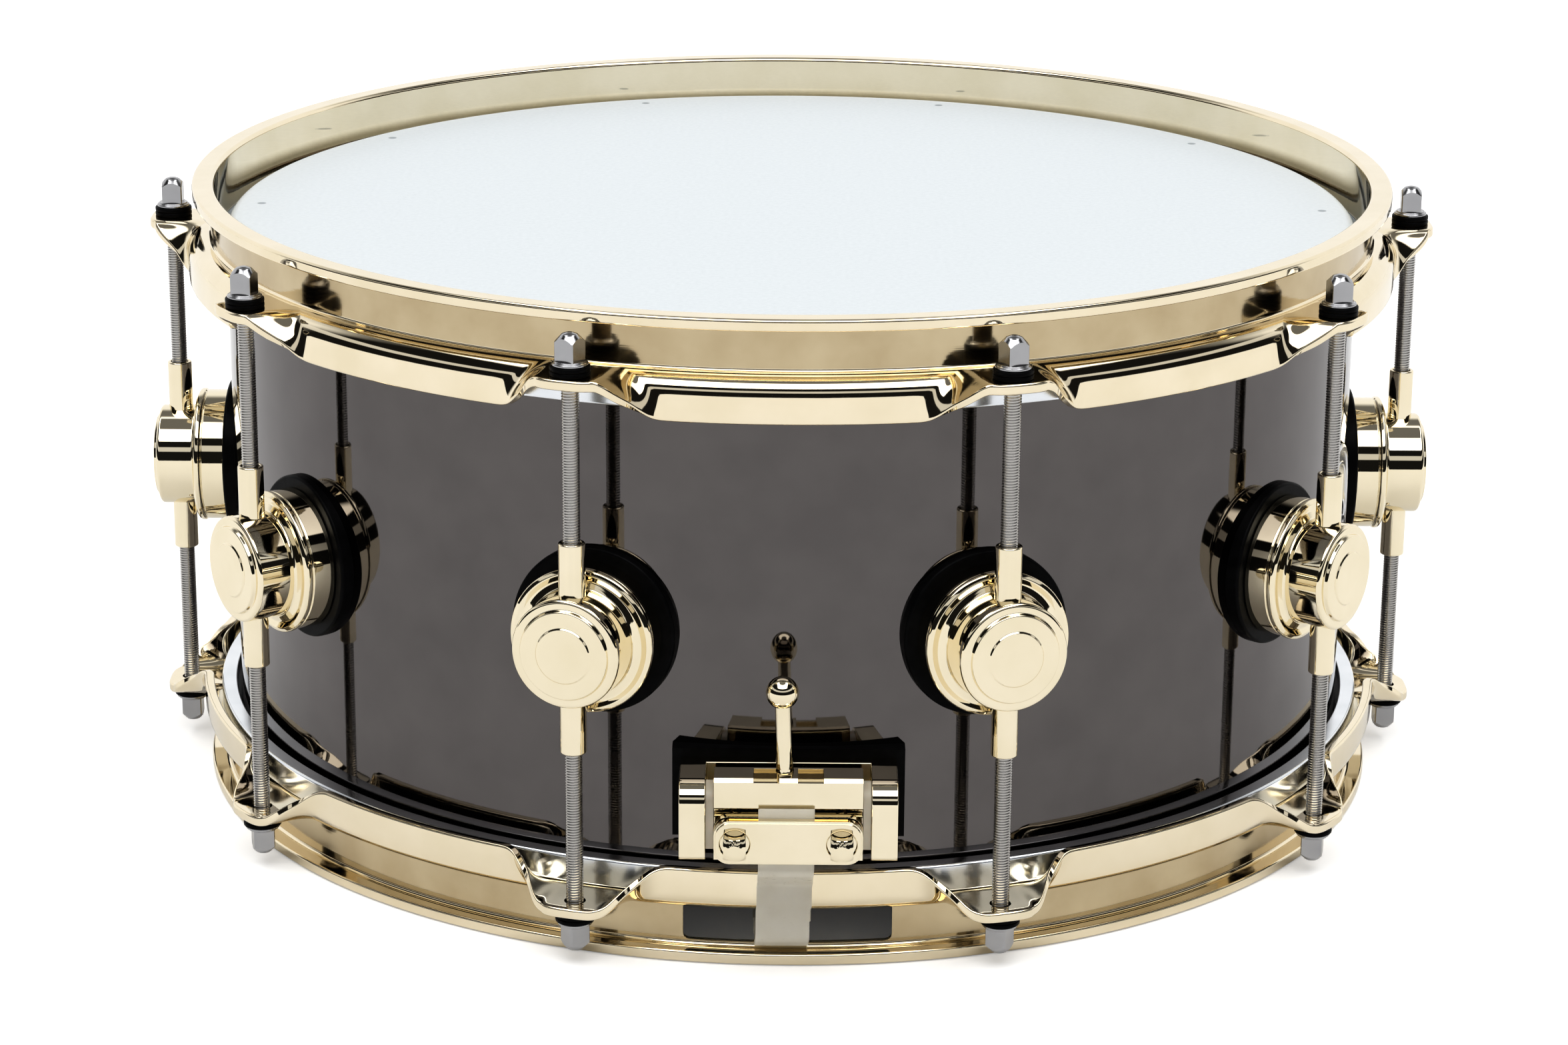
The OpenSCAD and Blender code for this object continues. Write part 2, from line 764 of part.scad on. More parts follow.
// The knurled knob above the shelf, the screw below it, and the collar that keeps it there.
module butt_adjuster_knob() {
    knob_r = 7;
    knob_h = 9;
    low = shelf_top_z + run_gap;
    under = shelf_top_z - shelf_t - run_gap;
    foot = jaw_foot_z + 1;
    grooves = 24;
    color(gold) stand() at_back() translate([0, knob_y, 0]) difference() {
        rotate_extrude() polygon([
            [0, foot], [stem_r - 0.5, foot], [stem_r, foot + 0.5], [stem_r, under - 1.2],
            [3.6, under - 1.2], [3.6, under], [stem_r, under], [stem_r, low],
            [knob_r - 0.6, low], [knob_r, low + 0.6], [knob_r, low + knob_h - 1],
            [knob_r - 1, low + knob_h], [0, low + knob_h]
        ]);
        for (k = [0 : grooves - 1]) rotate([0, 0, k * 360 / grooves])
            translate([knob_r + 0.25, 0, low + 1]) cylinder(h = knob_h - 2.4, r = 0.6, $fn = 16);
    }
}

module butt_mount_screws() {
    color(steel) stand() at_back() clamp_mount_screws();
}

module snare_strap_rear() {
    color([0.9, 0.9, 0.88]) stand() at_back() snare_strap();
}

// --- snares -------------------------------------------------------------------------------

module snare_wires() {
    color(steel) stand() for (k = [0 : wire_count - 1])
        translate([(k - (wire_count - 1) / 2) * wire_pitch, 0, wire_z])
            rotate([90, 0, 0]) cylinder(h = 2 * wire_half, r = wire_r, center = true, $fn = 24);
}

// The plates that the wires' ends are soldered to.
module snare_end_plates() {
    color([0.8, 0.62, 0.35]) stand() for (turn = [0, 180]) rotate([0, 0, turn]) difference() {
        block(
            [-end_plate_w / 2, -wire_half - 2, end_plate_z - end_plate_t],
            [end_plate_w / 2, -wire_half - 2 + end_plate_len, end_plate_z]
        );
        block(
            [-strap_w / 2 - 0.5, -wire_half + 1.5, end_plate_z - 5],
            [strap_w / 2 + 0.5, -wire_half + 3.5, end_plate_z + 5]
        );
    }
}

// --- what is drawn ------------------------------------------------------------------------

shell();
badge();
vent_grommet();
lug_gaskets();
lug_bodies();
lug_sleeves();
lug_mount_screws();
batter_head_film();
batter_flesh_hoop();
top_hoop_rim();
top_hoop_skirt();
top_rod_washers();
snare_head_film();
snare_flesh_hoop();
bottom_hoop_rim();
bottom_hoop_skirt();
bottom_rod_washers();
for (i = [0 : lug_count - 1]) {
    top_rod(i);
    bottom_rod(i);
}
strainer_gasket();
strainer_base();
strainer_pivot_pin();
strainer_nylon_liners();
lever_block();
lever_stem();
lever_ball();
strainer_carriage();
strainer_clamp_jaw();
strainer_clamp_screws();
strainer_mount_screws();
butt_gasket();
butt_base();
butt_carriage();
butt_clamp_jaw();
butt_clamp_screws();
butt_adjuster_knob();
butt_mount_screws();
snare_strap_front();
snare_strap_rear();
snare_end_plates();
snare_wires();
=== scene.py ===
"""Looks for the snare drum: smooth turned and swept metal, threaded rods, heads, snares and straps.

Outlines are in millimetres from the middle of the shell, like the part's own drawings, and are
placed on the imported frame. The front of the drum faces -Y.
"""

import math

import bmesh
import bpy
import numpy as np
from mathutils import Matrix, Vector


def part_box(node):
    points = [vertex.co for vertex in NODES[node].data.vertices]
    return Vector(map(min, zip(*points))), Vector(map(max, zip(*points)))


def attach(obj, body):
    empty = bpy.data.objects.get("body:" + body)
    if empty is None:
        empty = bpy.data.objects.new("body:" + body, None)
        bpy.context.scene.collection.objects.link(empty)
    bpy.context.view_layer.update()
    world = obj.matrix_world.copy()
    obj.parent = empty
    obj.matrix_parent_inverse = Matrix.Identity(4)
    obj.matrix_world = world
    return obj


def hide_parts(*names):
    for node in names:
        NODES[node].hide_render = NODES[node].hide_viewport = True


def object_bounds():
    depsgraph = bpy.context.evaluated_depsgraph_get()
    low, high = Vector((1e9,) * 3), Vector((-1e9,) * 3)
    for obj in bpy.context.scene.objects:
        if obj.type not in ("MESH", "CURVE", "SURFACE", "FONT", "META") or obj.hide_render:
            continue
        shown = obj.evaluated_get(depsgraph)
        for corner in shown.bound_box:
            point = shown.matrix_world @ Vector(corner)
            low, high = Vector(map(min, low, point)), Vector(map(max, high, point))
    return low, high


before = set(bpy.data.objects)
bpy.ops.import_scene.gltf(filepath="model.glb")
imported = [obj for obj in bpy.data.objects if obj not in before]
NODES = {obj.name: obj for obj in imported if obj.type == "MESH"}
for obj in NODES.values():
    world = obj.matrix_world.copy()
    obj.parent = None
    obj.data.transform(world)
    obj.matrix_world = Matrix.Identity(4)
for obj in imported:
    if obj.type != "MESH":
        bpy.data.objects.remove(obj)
cad_low, cad_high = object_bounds()

MM = 0.001
shell_low, shell_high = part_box("shell")
MIDDLE = Vector((0, 0, (shell_low.z + shell_high.z) / 2))

# Names ending in _R are distances from the drum's axis, _RAD radii about a piece's own axis or
# centre, and _Z heights above the middle.

LUGS = 10
LUG_STEP = 2 * math.pi / LUGS

SHELL_R = (shell_high.x - shell_low.x) / 2 / MM
HALF_H = (shell_high.z - shell_low.z) / 2 / MM
SHELL_WALL = 1.2
# The snare bed across the shell's lower edge, front and back: its depth, and its half width squared.
BED_DEPTH = 1.0
BED_HALF_W_SQUARED = 1200

# Both hoops, as on the upper one: a wall with a lip on top, and a flange bent down into a skirt.
RIM_Z = cad_high.z / MM / 2
WALL_IN_R = 181.0
WALL_OUT_R = 182.6
LIP_R = 188.0
LIP_T = 3.5
SHEET_T = 3.0
FLANGE_TOP = 79.2
FLANGE_UNDER = FLANGE_TOP - SHEET_T
SKIRT_R = 190.0
SKIRT_Z = 65.9
SHOULDER_RAD = 6.0
SKIRT_BULGE = math.radians(5)
# Each ear is flat this far to either side of its rod, then turns into the skirt over EAR_TURN.
EAR_R = 203.0
EAR_FLAT = 6.5
EAR_TURN = 21.5
EAR_HOLE_RAD = 3.1
GATE_HALF_W = 30
GATE_LOW_Z = -90.4
GATE_TOP_Z = -79.3

ROD_R = 196.0
ROD_RAD = 2.5
THREAD_PITCH = 0.8
THREAD_DEPTH = 0.22
WASHER_LOWS = (79.25, 80.65)
WASHER_T = 1.35
COLLAR_Z = 82.03
KEY_Z = 83.35
KEY_TIP_Z = RIM_Z - 4.2
KEY_HALF_W = 3.15

GASKET_TOP_R = 180.2
GASKET_RAD = 24.5
LUG_FACE_R = 204.1
LUG_BASE_RAD = 20.9
LUG_BEAD_RAD = 21.3
LUG_TOWER_RAD = 15.9
SLEEVE_RAD = 3.8
SLEEVE_Z = 31.0

BADGE_ANGLE = math.radians(72)
BADGE_RAD = 21.5
BADGE_T = 0.75
VENT_RAD = 6.3

# The front clamp's lever: its pivot's (y, z), and its ball above the foot of its stem.
PIVOT = (-(SHELL_R + 18.7), -41.1)
STEM_RAD = 2.3
STEM_RISE = 25
BALL_RISE = 28.6
BALL_RAD = 4.65

STRAP_W = 15.3
TAIL_W = 15.5
FILM_T = 0.3

WIRES = 20
WIRE_PITCH = 2.4
WIRE_HALF = 154.0
WIRE_RAD = 0.2
COIL_PITCH = 1.9
COIL_SIDES = 8
WIRE_SIDES = 3


# --- making meshes ---------------------------------------------------------------------------


def arc(centre, radius, start, end, steps=6):
    """Points round a circle from start to end, in degrees."""
    angles = (math.radians(start + (end - start) * k / steps) for k in range(steps + 1))
    return [(centre[0] + radius * math.cos(a), centre[1] + radius * math.sin(a)) for a in angles]


def rounded(corners, steps=4):
    """An outline whose corners (x, y, radius) are turned into small arcs; radius 0 stays sharp."""
    points = []
    count = len(corners)
    for k, (x, y, radius) in enumerate(corners):
        here = Vector((x, y))
        before = Vector(corners[k - 1][:2]) - here
        after = Vector(corners[(k + 1) % count][:2]) - here
        if radius <= 0:
            points.append((x, y))
            continue
        half = before.angle(after) / 2
        reach = radius / math.tan(half)
        reach = min(reach, before.length * 0.49, after.length * 0.49)
        size = reach * math.tan(half)
        start = here + before.normalized() * reach
        end = here + after.normalized() * reach
        centre = here + (before.normalized() + after.normalized()).normalized() * size / math.sin(half)
        spoke = start - centre
        turn = spoke.angle_signed(end - centre)
        for step in range(steps + 1):
            angle = -turn * step / steps
            points.append((
                centre.x + spoke.x * math.cos(angle) - spoke.y * math.sin(angle),
                centre.y + spoke.x * math.sin(angle) + spoke.y * math.cos(angle),
            ))
    return points


def grid_faces(columns, rows, close_columns=True, close_rows=True):
    """Quads between neighbouring points of a grid, column by column."""
    faces = []
    for i in range(columns if close_columns else columns - 1):
        for j in range(rows if close_rows else rows - 1):
            a, b = i * rows, ((i + 1) % columns) * rows
            up = (j + 1) % rows
            faces.append((a + j, b + j, b + up, a + up))
    return faces


# In metres: points nearer than this are one, and faces thinner than this are dropped.
WELD = 1e-6
SLIVER = 1e-7


def make_mesh(name, points, faces, crease=35):
    """A mesh from points in millimetres, cleaned, with its normals out and its creases kept."""
    mesh = bpy.data.meshes.new(name)
    mesh.from_pydata([tuple(p) for p in np.asarray(points, float) * MM], [], faces)
    bm = bmesh.new()
    bm.from_mesh(mesh)
    bmesh.ops.remove_doubles(bm, verts=bm.verts, dist=WELD)
    bmesh.ops.dissolve_degenerate(bm, dist=SLIVER, edges=bm.edges)
    bmesh.ops.recalc_face_normals(bm, faces=bm.faces)
    bm.to_mesh(mesh)
    bm.free()
    shade(mesh, crease)
    return mesh


def shade(mesh, crease):
    """Smooth shading, with edges sharper than the crease (in degrees) kept hard."""
    mesh.shade_smooth()
    mesh.set_sharp_from_angle(angle=math.radians(crease))


def add_piece(mesh, material, body, nodes=(), name=None, place=None):
    """Puts a mesh in the scene at the drum's middle, on a body, in place of CAD nodes."""
    obj = bpy.data.objects.new(name or mesh.name, mesh)
    bpy.context.scene.collection.objects.link(obj)
    if not mesh.materials:
        mesh.materials.append(material)
    obj.matrix_world = Matrix.Translation(MIDDLE) @ (place or Matrix.Identity(4))
    flat = obj.modifiers.new("flat faces shade flat", "WEIGHTED_NORMAL")
    flat.keep_sharp = True
    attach(obj, body)
    if nodes:
        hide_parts(*nodes)
    return obj


def lathe(outline, segments=96, axis="z"):
    """Turns an outline of (radius, height) about Z, or about the line out of the drum's front."""
    columns = np.arange(segments) * 2 * math.pi / segments
    outline = np.array(outline, float)
    radius, height = outline[:, 0], outline[:, 1]
    cos, sin = np.cos(columns)[:, None], np.sin(columns)[:, None]
    flat = np.repeat(height[None, :], segments, axis=0)
    if axis == "z":
        points = np.stack([radius * cos, radius * sin, flat], axis=-1)
    else:
        points = np.stack([radius * cos, -flat, radius * sin], axis=-1)
    return points.reshape(-1, 3), grid_faces(segments, len(outline))


def turned(points, angle):
    """Points turned about the drum's axis."""
    cos, sin = math.cos(angle), math.sin(angle)
    x, y, z = np.asarray(points, float).T
    return np.stack([x * cos - y * sin, x * sin + y * cos, z], axis=-1)


def joined(parts):
    """Several (points, faces) put together as one."""
    points, faces, base = [], [], 0
    for p, f in parts:
        points.append(np.asarray(p, float))
        faces.extend(tuple(v + base for v in face) for face in f)
        base += len(p)
    return np.concatenate(points), faces


def lug_angle(i):
    """Lug i's angle from the drum's front; no lug is at the front itself, where the clamp is."""
    return LUG_STEP * (i + 0.5)


def at_every_lug(points, faces):
    """A shape at the drum's front, copied round to all ten lugs."""
    return joined([(turned(points, lug_angle(i)), faces) for i in range(LUGS)])


def flipped(points):
    """Points turned upside down: a half turn about the line out of the drum's front."""
    points = np.asarray(points, float).copy()
    points[:, 0] *= -1
    points[:, 2] *= -1
    return points


def extrude(outline, low, high, axis):
    """An outline pushed along an axis. It is in (y, z) for x, in (x, z) for y and (x, y) for z."""
    outline = np.array(outline, float)
    ends = []
    for at in (low, high):
        level = np.full(len(outline), at)
        order = {
            "x": (level, outline[:, 0], outline[:, 1]),
            "y": (outline[:, 0], level, outline[:, 1]),
            "z": (outline[:, 0], outline[:, 1], level),
        }[axis]
        ends.append(np.stack(order, axis=-1))
    count = len(outline)
    faces = [tuple(range(count)), tuple(range(count, 2 * count))]
    faces += [(k, (k + 1) % count, count + (k + 1) % count, count + k) for k in range(count)]
    return np.concatenate(ends), faces


def cut(mesh, cutter_parts, operation="DIFFERENCE", crease=35):
    """The mesh with other solids cut out of it."""
    points, faces = joined(cutter_parts)
    cutter = bpy.data.objects.new("cutter", make_mesh("cutter", points, faces))
    work = bpy.data.objects.new("work", mesh)
    for obj in (cutter, work):
        bpy.context.scene.collection.objects.link(obj)
    modifier = work.modifiers.new("cut", "BOOLEAN")
    modifier.object = cutter
    modifier.operation = operation
    modifier.solver = "EXACT"
    graph = bpy.context.evaluated_depsgraph_get()
    made = bpy.data.meshes.new_from_object(work.evaluated_get(graph))
    made.name = mesh.name + "_cut"
    for obj in (cutter, work):
        bpy.data.objects.remove(obj)
    shade(made, crease)
    return made


def rounded_edges(name, points, faces, width, steps=3, crease=35):
    """A mesh with its hard edges rounded, as on cast and plated metal."""
    weld, flat, hard = 5e-6, math.radians(0.5), math.radians(30)
    mesh = make_mesh(name, points, faces)
    bm = bmesh.new()
    bm.from_mesh(mesh)
    bmesh.ops.remove_doubles(bm, verts=bm.verts, dist=weld)
    bmesh.ops.dissolve_limit(bm, angle_limit=flat, verts=bm.verts, edges=bm.edges)
    edges = [e for e in bm.edges if len(e.link_faces) == 2 and e.calc_face_angle() > hard]
    bmesh.ops.bevel(
        bm, geom=edges, offset=width * MM, segments=steps, profile=0.5, affect="EDGES", clamp_overlap=True,
    )
    bm.to_mesh(mesh)
    bm.free()
    shade(mesh, crease)
    return mesh


def refined(node, material, body, width):
    """A CAD node's own shape with its hard edges rounded."""
    source = NODES[node]
    points = [(source.matrix_world @ v.co - MIDDLE) / MM for v in source.data.vertices]
    faces = [tuple(p.vertices) for p in source.data.polygons]
    return add_piece(rounded_edges(node + "_cast", points, faces, width), material, body, [node])


# --- materials -------------------------------------------------------------------------------


def maths(tree, operation, *values):
    """A Math node fed with numbers and other nodes' outputs; gives its own output."""
    node = tree.nodes.new("ShaderNodeMath")
    node.operation = operation
    for k, value in enumerate(values):
        if isinstance(value, (int, float)):
            node.inputs[k].default_value = value
        else:
            tree.links.new(value, node.inputs[k])
    return node.outputs[0]


def map_range(tree, value, start, end, low=0.0, high=1.0, kind="SMOOTHSTEP"):
    """A Map Range node from start..end to low..high."""
    node = tree.nodes.new("ShaderNodeMapRange")
    node.interpolation_type = kind
    for key, number in (("From Min", start), ("From Max", end), ("To Min", low), ("To Max", high)):
        node.inputs[key].default_value = number
    tree.links.new(value, node.inputs["Value"])
    return node.outputs["Result"]


class Material:
    """A node material being put together around one Principled shader."""

    def __init__(self, name):
        self.made = bpy.data.materials.new(name)
        self.made.use_nodes = True
        self.tree = self.made.node_tree
        self.shader = self.tree.nodes["Principled BSDF"]
        self.where = self.add("ShaderNodeTexCoord").outputs["Object"]

    def add(self, kind, **inputs):
        node = self.tree.nodes.new(kind)
        for key, value in inputs.items():
            node.inputs[key.replace("_", " ")].default_value = value
        return node

    def link(self, source, target):
        self.tree.links.new(source, target)

    def set(self, **inputs):
        for key, value in inputs.items():
            self.shader.inputs[key.replace("_", " ")].default_value = value

    def stretched(self, scale):
        """Object coordinates scaled by a different amount along each axis."""
        node = self.add("ShaderNodeMapping")
        node.inputs["Scale"].default_value = scale
        self.link(self.where, node.inputs["Vector"])
        return node.outputs["Vector"]

    def noise(self, scale, detail=3.0, where=None):
        node = self.add("ShaderNodeTexNoise", Scale=scale, Detail=detail)
        self.link(where or self.where, node.inputs["Vector"])
        return node.outputs["Fac"]

    def colours(self, value, low, high, start=0.3, end=0.7):
        """Base colour that runs from low to high as the value goes from start to end."""
        ramp = self.add("ShaderNodeValToRGB")
        ramp.color_ramp.elements[0].position = start
        ramp.color_ramp.elements[1].position = end
        ramp.color_ramp.elements[0].color = (*low, 1)
        ramp.color_ramp.elements[1].color = (*high, 1)
        self.link(value, ramp.inputs["Fac"])
        self.link(ramp.outputs["Color"], self.shader.inputs["Base Color"])
        return ramp.outputs["Color"]

    def roughness(self, value, low, high):
        spread = map_range(self.tree, value, 0.0, 1.0, low, high, "LINEAR")
        self.link(spread, self.shader.inputs["Roughness"])

    def see_through(self, share, tint=(1, 1, 1, 1)):
        """Lets what is behind show, tinted; share is how much of the material itself is seen."""
        clear = self.add("ShaderNodeBsdfTransparent", Color=tint)
        mix = self.add("ShaderNodeMixShader")
        if isinstance(share, float):
            mix.inputs[0].default_value = share
        else:
            self.link(share, mix.inputs[0])
        self.link(clear.outputs[0], mix.inputs[1])
        self.link(self.shader.outputs[0], mix.inputs[2])
        self.link(mix.outputs[0], self.tree.nodes["Material Output"].inputs["Surface"])

    def bump(self, value, height, strength=1.0):
        """Bumps of a height in millimetres, on top of any there are already."""
        node = self.add("ShaderNodeBump", Strength=strength, Distance=height * MM)
        self.link(value, node.inputs["Height"])
        if self.shader.inputs["Normal"].is_linked:
            self.link(self.shader.inputs["Normal"].links[0].from_socket, node.inputs["Normal"])
        self.link(node.outputs["Normal"], self.shader.inputs["Normal"])


def metal(name, low, high, rough=(0.03, 0.07), ripple=0.0, grain=None):
    """Plated or turned metal: uneven tone, smears in the polish, and slow ripples."""
    m = Material(name)
    m.set(Metallic=1.0)
    m.colours(m.noise(60, 4), low, high)
    m.roughness(m.noise(140, 6), *rough)
    if ripple:
        m.bump(m.noise(55, 2), ripple)
    if grain:
        scale, height = grain
        m.bump(m.noise(1, 4, m.stretched(scale)), height)
    return m.made


GOLD = metal("gold_plate", (0.85, 0.76, 0.56), (0.90, 0.81, 0.62), (0.02, 0.05), ripple=0.02)
HOOP_GOLD = metal("hoop_gold_plate", (0.84, 0.74, 0.54), (0.90, 0.80, 0.61), (0.03, 0.07), ripple=0.06)
# The hoop's wall: the same gold plate with its base colour darkened, a painted darker reflection, and real
# grain across it in its bump.
HOOP_WALL_PAINTED_SHADE = metal(
    "hoop_wall_painted_shade", (0.50, 0.40, 0.25), (0.60, 0.50, 0.33), (0.06, 0.14),
    ripple=0.05, grain=((6, 6, 700), 0.02),
)
DARK_NICKEL = metal("dark_nickel", (0.120, 0.111, 0.109), (0.136, 0.126, 0.123), (0.03, 0.06), ripple=0.01)
ROD_STEEL = metal("rod_steel", (0.49, 0.48, 0.46), (0.56, 0.54, 0.52), (0.22, 0.32))
HEAD_STEEL = metal("rod_head_steel", (0.36, 0.36, 0.37), (0.46, 0.46, 0.47), (0.12, 0.24))
ALUMINIUM = metal("rolled_aluminium", (0.74, 0.77, 0.80), (0.86, 0.88, 0.91), (0.14, 0.24))
CHROME = metal("chrome", (0.70, 0.70, 0.71), (0.78, 0.78, 0.79), (0.05, 0.12))
SNARE_STEEL = metal("snare_steel", (0.60, 0.60, 0.60), (0.75, 0.75, 0.75), (0.12, 0.22))
BADGE_METAL = metal("badge_metal", (0.55, 0.55, 0.56), (0.72, 0.72, 0.73), (0.16, 0.3))
END_BRASS = metal("end_plate_brass", (0.62, 0.45, 0.22), (0.76, 0.58, 0.32), (0.2, 0.35))


def rubber():
    m = Material("black_rubber")
    m.colours(m.noise(300, 4), (0.0015, 0.0015, 0.0017), (0.004, 0.004, 0.0045))
    m.roughness(m.noise(500, 3), 0.30, 0.45)
    m.bump(m.noise(2200, 2), 0.02, 0.5)
    m.set(Specular_IOR_Level=0.05)
    return m.made


def nylon():
    m = Material("nylon")
    m.colours(m.noise(90, 3), (0.42, 0.37, 0.29), (0.54, 0.49, 0.40))
    m.roughness(m.noise(300, 3), 0.3, 0.45)
    m.set(Subsurface_Weight=0.15, Subsurface_Scale=0.002)
    return m.made


def batter_coating():
    """The white sprayed coating, with a small grey dot near the edge in line with each lug."""
    dot_reach = 168 * MM
    dot_inner, dot_outer = 1.0 * MM, 1.7 * MM
    m = Material("batter_coating")
    split = m.add("ShaderNodeSeparateXYZ")
    m.link(m.where, split.inputs["Vector"])
    x, y = split.outputs["X"], split.outputs["Y"]

    def length(first, second):
        squares = (maths(m.tree, "MULTIPLY", side, side) for side in (first, second))
        return maths(m.tree, "SQRT", maths(m.tree, "ADD", *squares))

    folded = maths(m.tree, "PINGPONG", maths(m.tree, "ARCTAN2", y, x), LUG_STEP / 2)
    aside = maths(m.tree, "MULTIPLY", folded, dot_reach)
    along = maths(m.tree, "SUBTRACT", length(x, y), dot_reach)
    beside_dot = map_range(m.tree, length(along, aside), dot_inner, dot_outer)
    white = m.colours(m.noise(700, 5), (0.715, 0.760, 0.785), (0.760, 0.805, 0.830))
    mix = m.add("ShaderNodeMix")
    mix.data_type = "RGBA"
    mix.inputs["A"].default_value = (0.36, 0.40, 0.43, 1)
    m.link(beside_dot, mix.inputs["Factor"])
    m.link(white, mix.inputs["B"])
    m.link(mix.outputs["Result"], m.shader.inputs["Base Color"])
    m.roughness(m.noise(900, 3), 0.42, 0.6)
    m.bump(m.noise(1500, 3), 0.05, 0.6)
    return m.made


def clear_film():
    """The thin clear head: mostly see-through, with a sheen and a faint haze."""
    m = Material("clear_film")
    m.colours(m.noise(40, 2), (0.80, 0.83, 0.85), (0.88, 0.90, 0.92))
    m.roughness(m.noise(200, 3), 0.06, 0.12)
    facing = m.add("ShaderNodeLayerWeight", Blend=0.25)
    m.see_through(map_range(m.tree, facing.outputs["Facing"], 0.0, 1.0, 0.22, 0.9, "LINEAR"))
    return m.made


def frosted_strap():
    """Frosted plastic film that lets what is behind it show dimly."""
    m = Material("frosted_strap")
    m.colours(m.noise(120, 4), (0.86, 0.82, 0.72), (0.94, 0.91, 0.83))
    m.roughness(m.noise(600, 4), 0.22, 0.38)
    m.bump(m.noise(1500, 2), 0.01, 0.5)
    m.see_through(0.55, tint=(0.96, 0.94, 0.88, 1))
    return m.made


RUBBER = rubber()
NYLON = nylon()
BATTER = batter_coating()
CLEAR_FILM = clear_film()
STRAP = frosted_strap()


# --- shell and heads -------------------------------------------------------------------------


def build_shell():
    """The shell with its edges turned in, and the snare bed across its lower edge."""
    inner = SHELL_R - SHELL_WALL
    edge = 4.2
    upper = [
        (SHELL_R, 0, 0), (SHELL_R, HALF_H - 3.4, 2), (SHELL_R - 2, HALF_H, 0.6),
        (SHELL_R - edge, HALF_H, 0.3), (SHELL_R - edge, HALF_H - 1, 0.3),
        (SHELL_R - 2.6, HALF_H - 1.2, 0.6), (inner, HALF_H - 4, 2), (inner, 0, 0),
    ]
    lower = [(r, -z, fillet) for r, z, fillet in upper[-2:0:-1]]
    points, faces = lathe(rounded(upper + lower), 480)
    bed = np.clip(BED_DEPTH - points[:, 0] ** 2 / BED_HALF_W_SQUARED, 0, None)
    on_lower_edge = points[:, 2] < -HALF_H + edge
    points[:, 2] += np.where(on_lower_edge, bed, 0)
    mesh = make_mesh("shell_body", points, faces)
    return add_piece(mesh, DARK_NICKEL, "drum", ["shell"])


def head_outline():
    """The film flat over the bearing edge, down outside the shell and into its hoop."""
    top = HALF_H + 0.4
    under = top - 0.3
    hem_r = 181
    return rounded([
        (0, under, 0), (SHELL_R - 1.4, under, 2.5), (SHELL_R + 0.5, FLANGE_UNDER - 2, 2),
        (hem_r, FLANGE_UNDER - 3.6, 1), (hem_r + 0.3, FLANGE_UNDER - 3.3, 0),
        (SHELL_R + 0.9, FLANGE_UNDER - 1.6, 2), (SHELL_R - 1.2, top, 2.8), (0, top, 0),
    ], 6)


def flesh_hoop_outline():
    """The head's own hoop: a channel open upwards and inwards."""
    inner, outer = SHELL_R + 1.5, SHELL_R + 6.4
    top, low = FLANGE_UNDER - 0.05, FLANGE_UNDER - 8.5
    return rounded([
        (inner, low, 0.5), (outer, low, 0.9), (outer, top, 0.8), (outer - 1.6, top, 0.3),
        (outer - 1.6, low + 1.5, 0.4), (inner + 1, low + 1.5, 0.3),
        (inner + 1, low + 4.2, 0.3), (inner, low + 4.2, 0.3),
    ])


def build_heads():
    """Both heads: the lower one is the upper one turned over."""
    for side, film_node, hoop_node, film, film_slot in (
        (1, "batter_head_film", "batter_flesh_hoop", BATTER, "batter_film"),
        (-1, "snare_head_film", "snare_flesh_hoop", CLEAR_FILM, "snare_film"),
    ):
        for outline, node, material, slot in (
            (head_outline(), film_node, film, film_slot),
            (flesh_hoop_outline(), hoop_node, ALUMINIUM, "flesh_hoop"),
        ):
            points, faces = lathe(outline, 360)
            points[:, 2] *= side
            add_piece(make_mesh(node + "_smooth", points, faces), material, "drum", [node])


# --- hoops -----------------------------------------------------------------------------------


def smooth_step(t):
    """0 to 1 with no sudden start or stop."""
    t = min(max(t, 0), 1)
    return t * t * t * (10 - 15 * t + 6 * t * t)


def bent_sheet(aside):
    """The sheet's upper and under sides, from the flange out to its edge.

    At the rod it runs straight out as a flat ear; away from it, it is bent down as a skirt. Also
    gives the direction the sheet ends in, and the one that its upper side faces there.
    """
    down = smooth_step((aside - EAR_FLAT) / EAR_TURN)
    bend = math.radians(90) * down
    bulge = SKIRT_BULGE * down
    bend_r = SKIRT_R - 0.4 - SHOULDER_RAD
    ear_reach = EAR_R - bend_r - 1.8 * min(aside / 8.5, 1) ** 4
    reach = ear_reach + (FLANGE_TOP - SKIRT_Z - SHOULDER_RAD - ear_reach) * down
    reach *= 1 - 0.28 * math.sin(math.pi * down)
    top, under = [], []
    middle = Vector((bend_r, FLANGE_TOP - SHOULDER_RAD))
    steps = 10
    for k in range(steps + 1):
        a = math.pi / 2 - bend * k / steps
        way = Vector((math.cos(a), math.sin(a)))
        top.append(middle + way * SHOULDER_RAD)
        under.append(middle + way * (SHOULDER_RAD - SHEET_T))
    at = top[-1].copy()
    lengths = 8
    for k in range(1, lengths + 1):
        a = bend - bulge / 2 + bulge * (k - 0.5) / lengths
        at = at + Vector((math.cos(a), -math.sin(a))) * reach / lengths
        top.append(at.copy())
        under.append(at + Vector((-math.sin(a), -math.cos(a))) * SHEET_T)
    a = bend + bulge / 2
    return top, under, Vector((math.cos(a), -math.sin(a))), Vector((math.sin(a), math.cos(a)))


def sheet_edge(top_end, under_end, end_way, outward, corner, steps=4):
    """The sheet's outer edge, with its two corners rounded."""
    edge = []
    centre = top_end - outward * corner
    for k in range(1, steps):
        a = math.radians(90 * k / steps)
        edge.append(centre + outward * corner * math.cos(a) + end_way * corner * math.sin(a))
    edge.append(top_end + end_way * corner - outward * corner)
    edge.append(under_end + end_way * corner + outward * corner)
    centre = under_end + outward * corner
    for k in range(1, steps):
        a = math.radians(90 * k / steps)
        edge.append(centre - outward * corner * math.sin(a) + end_way * corner * math.cos(a))
    return edge


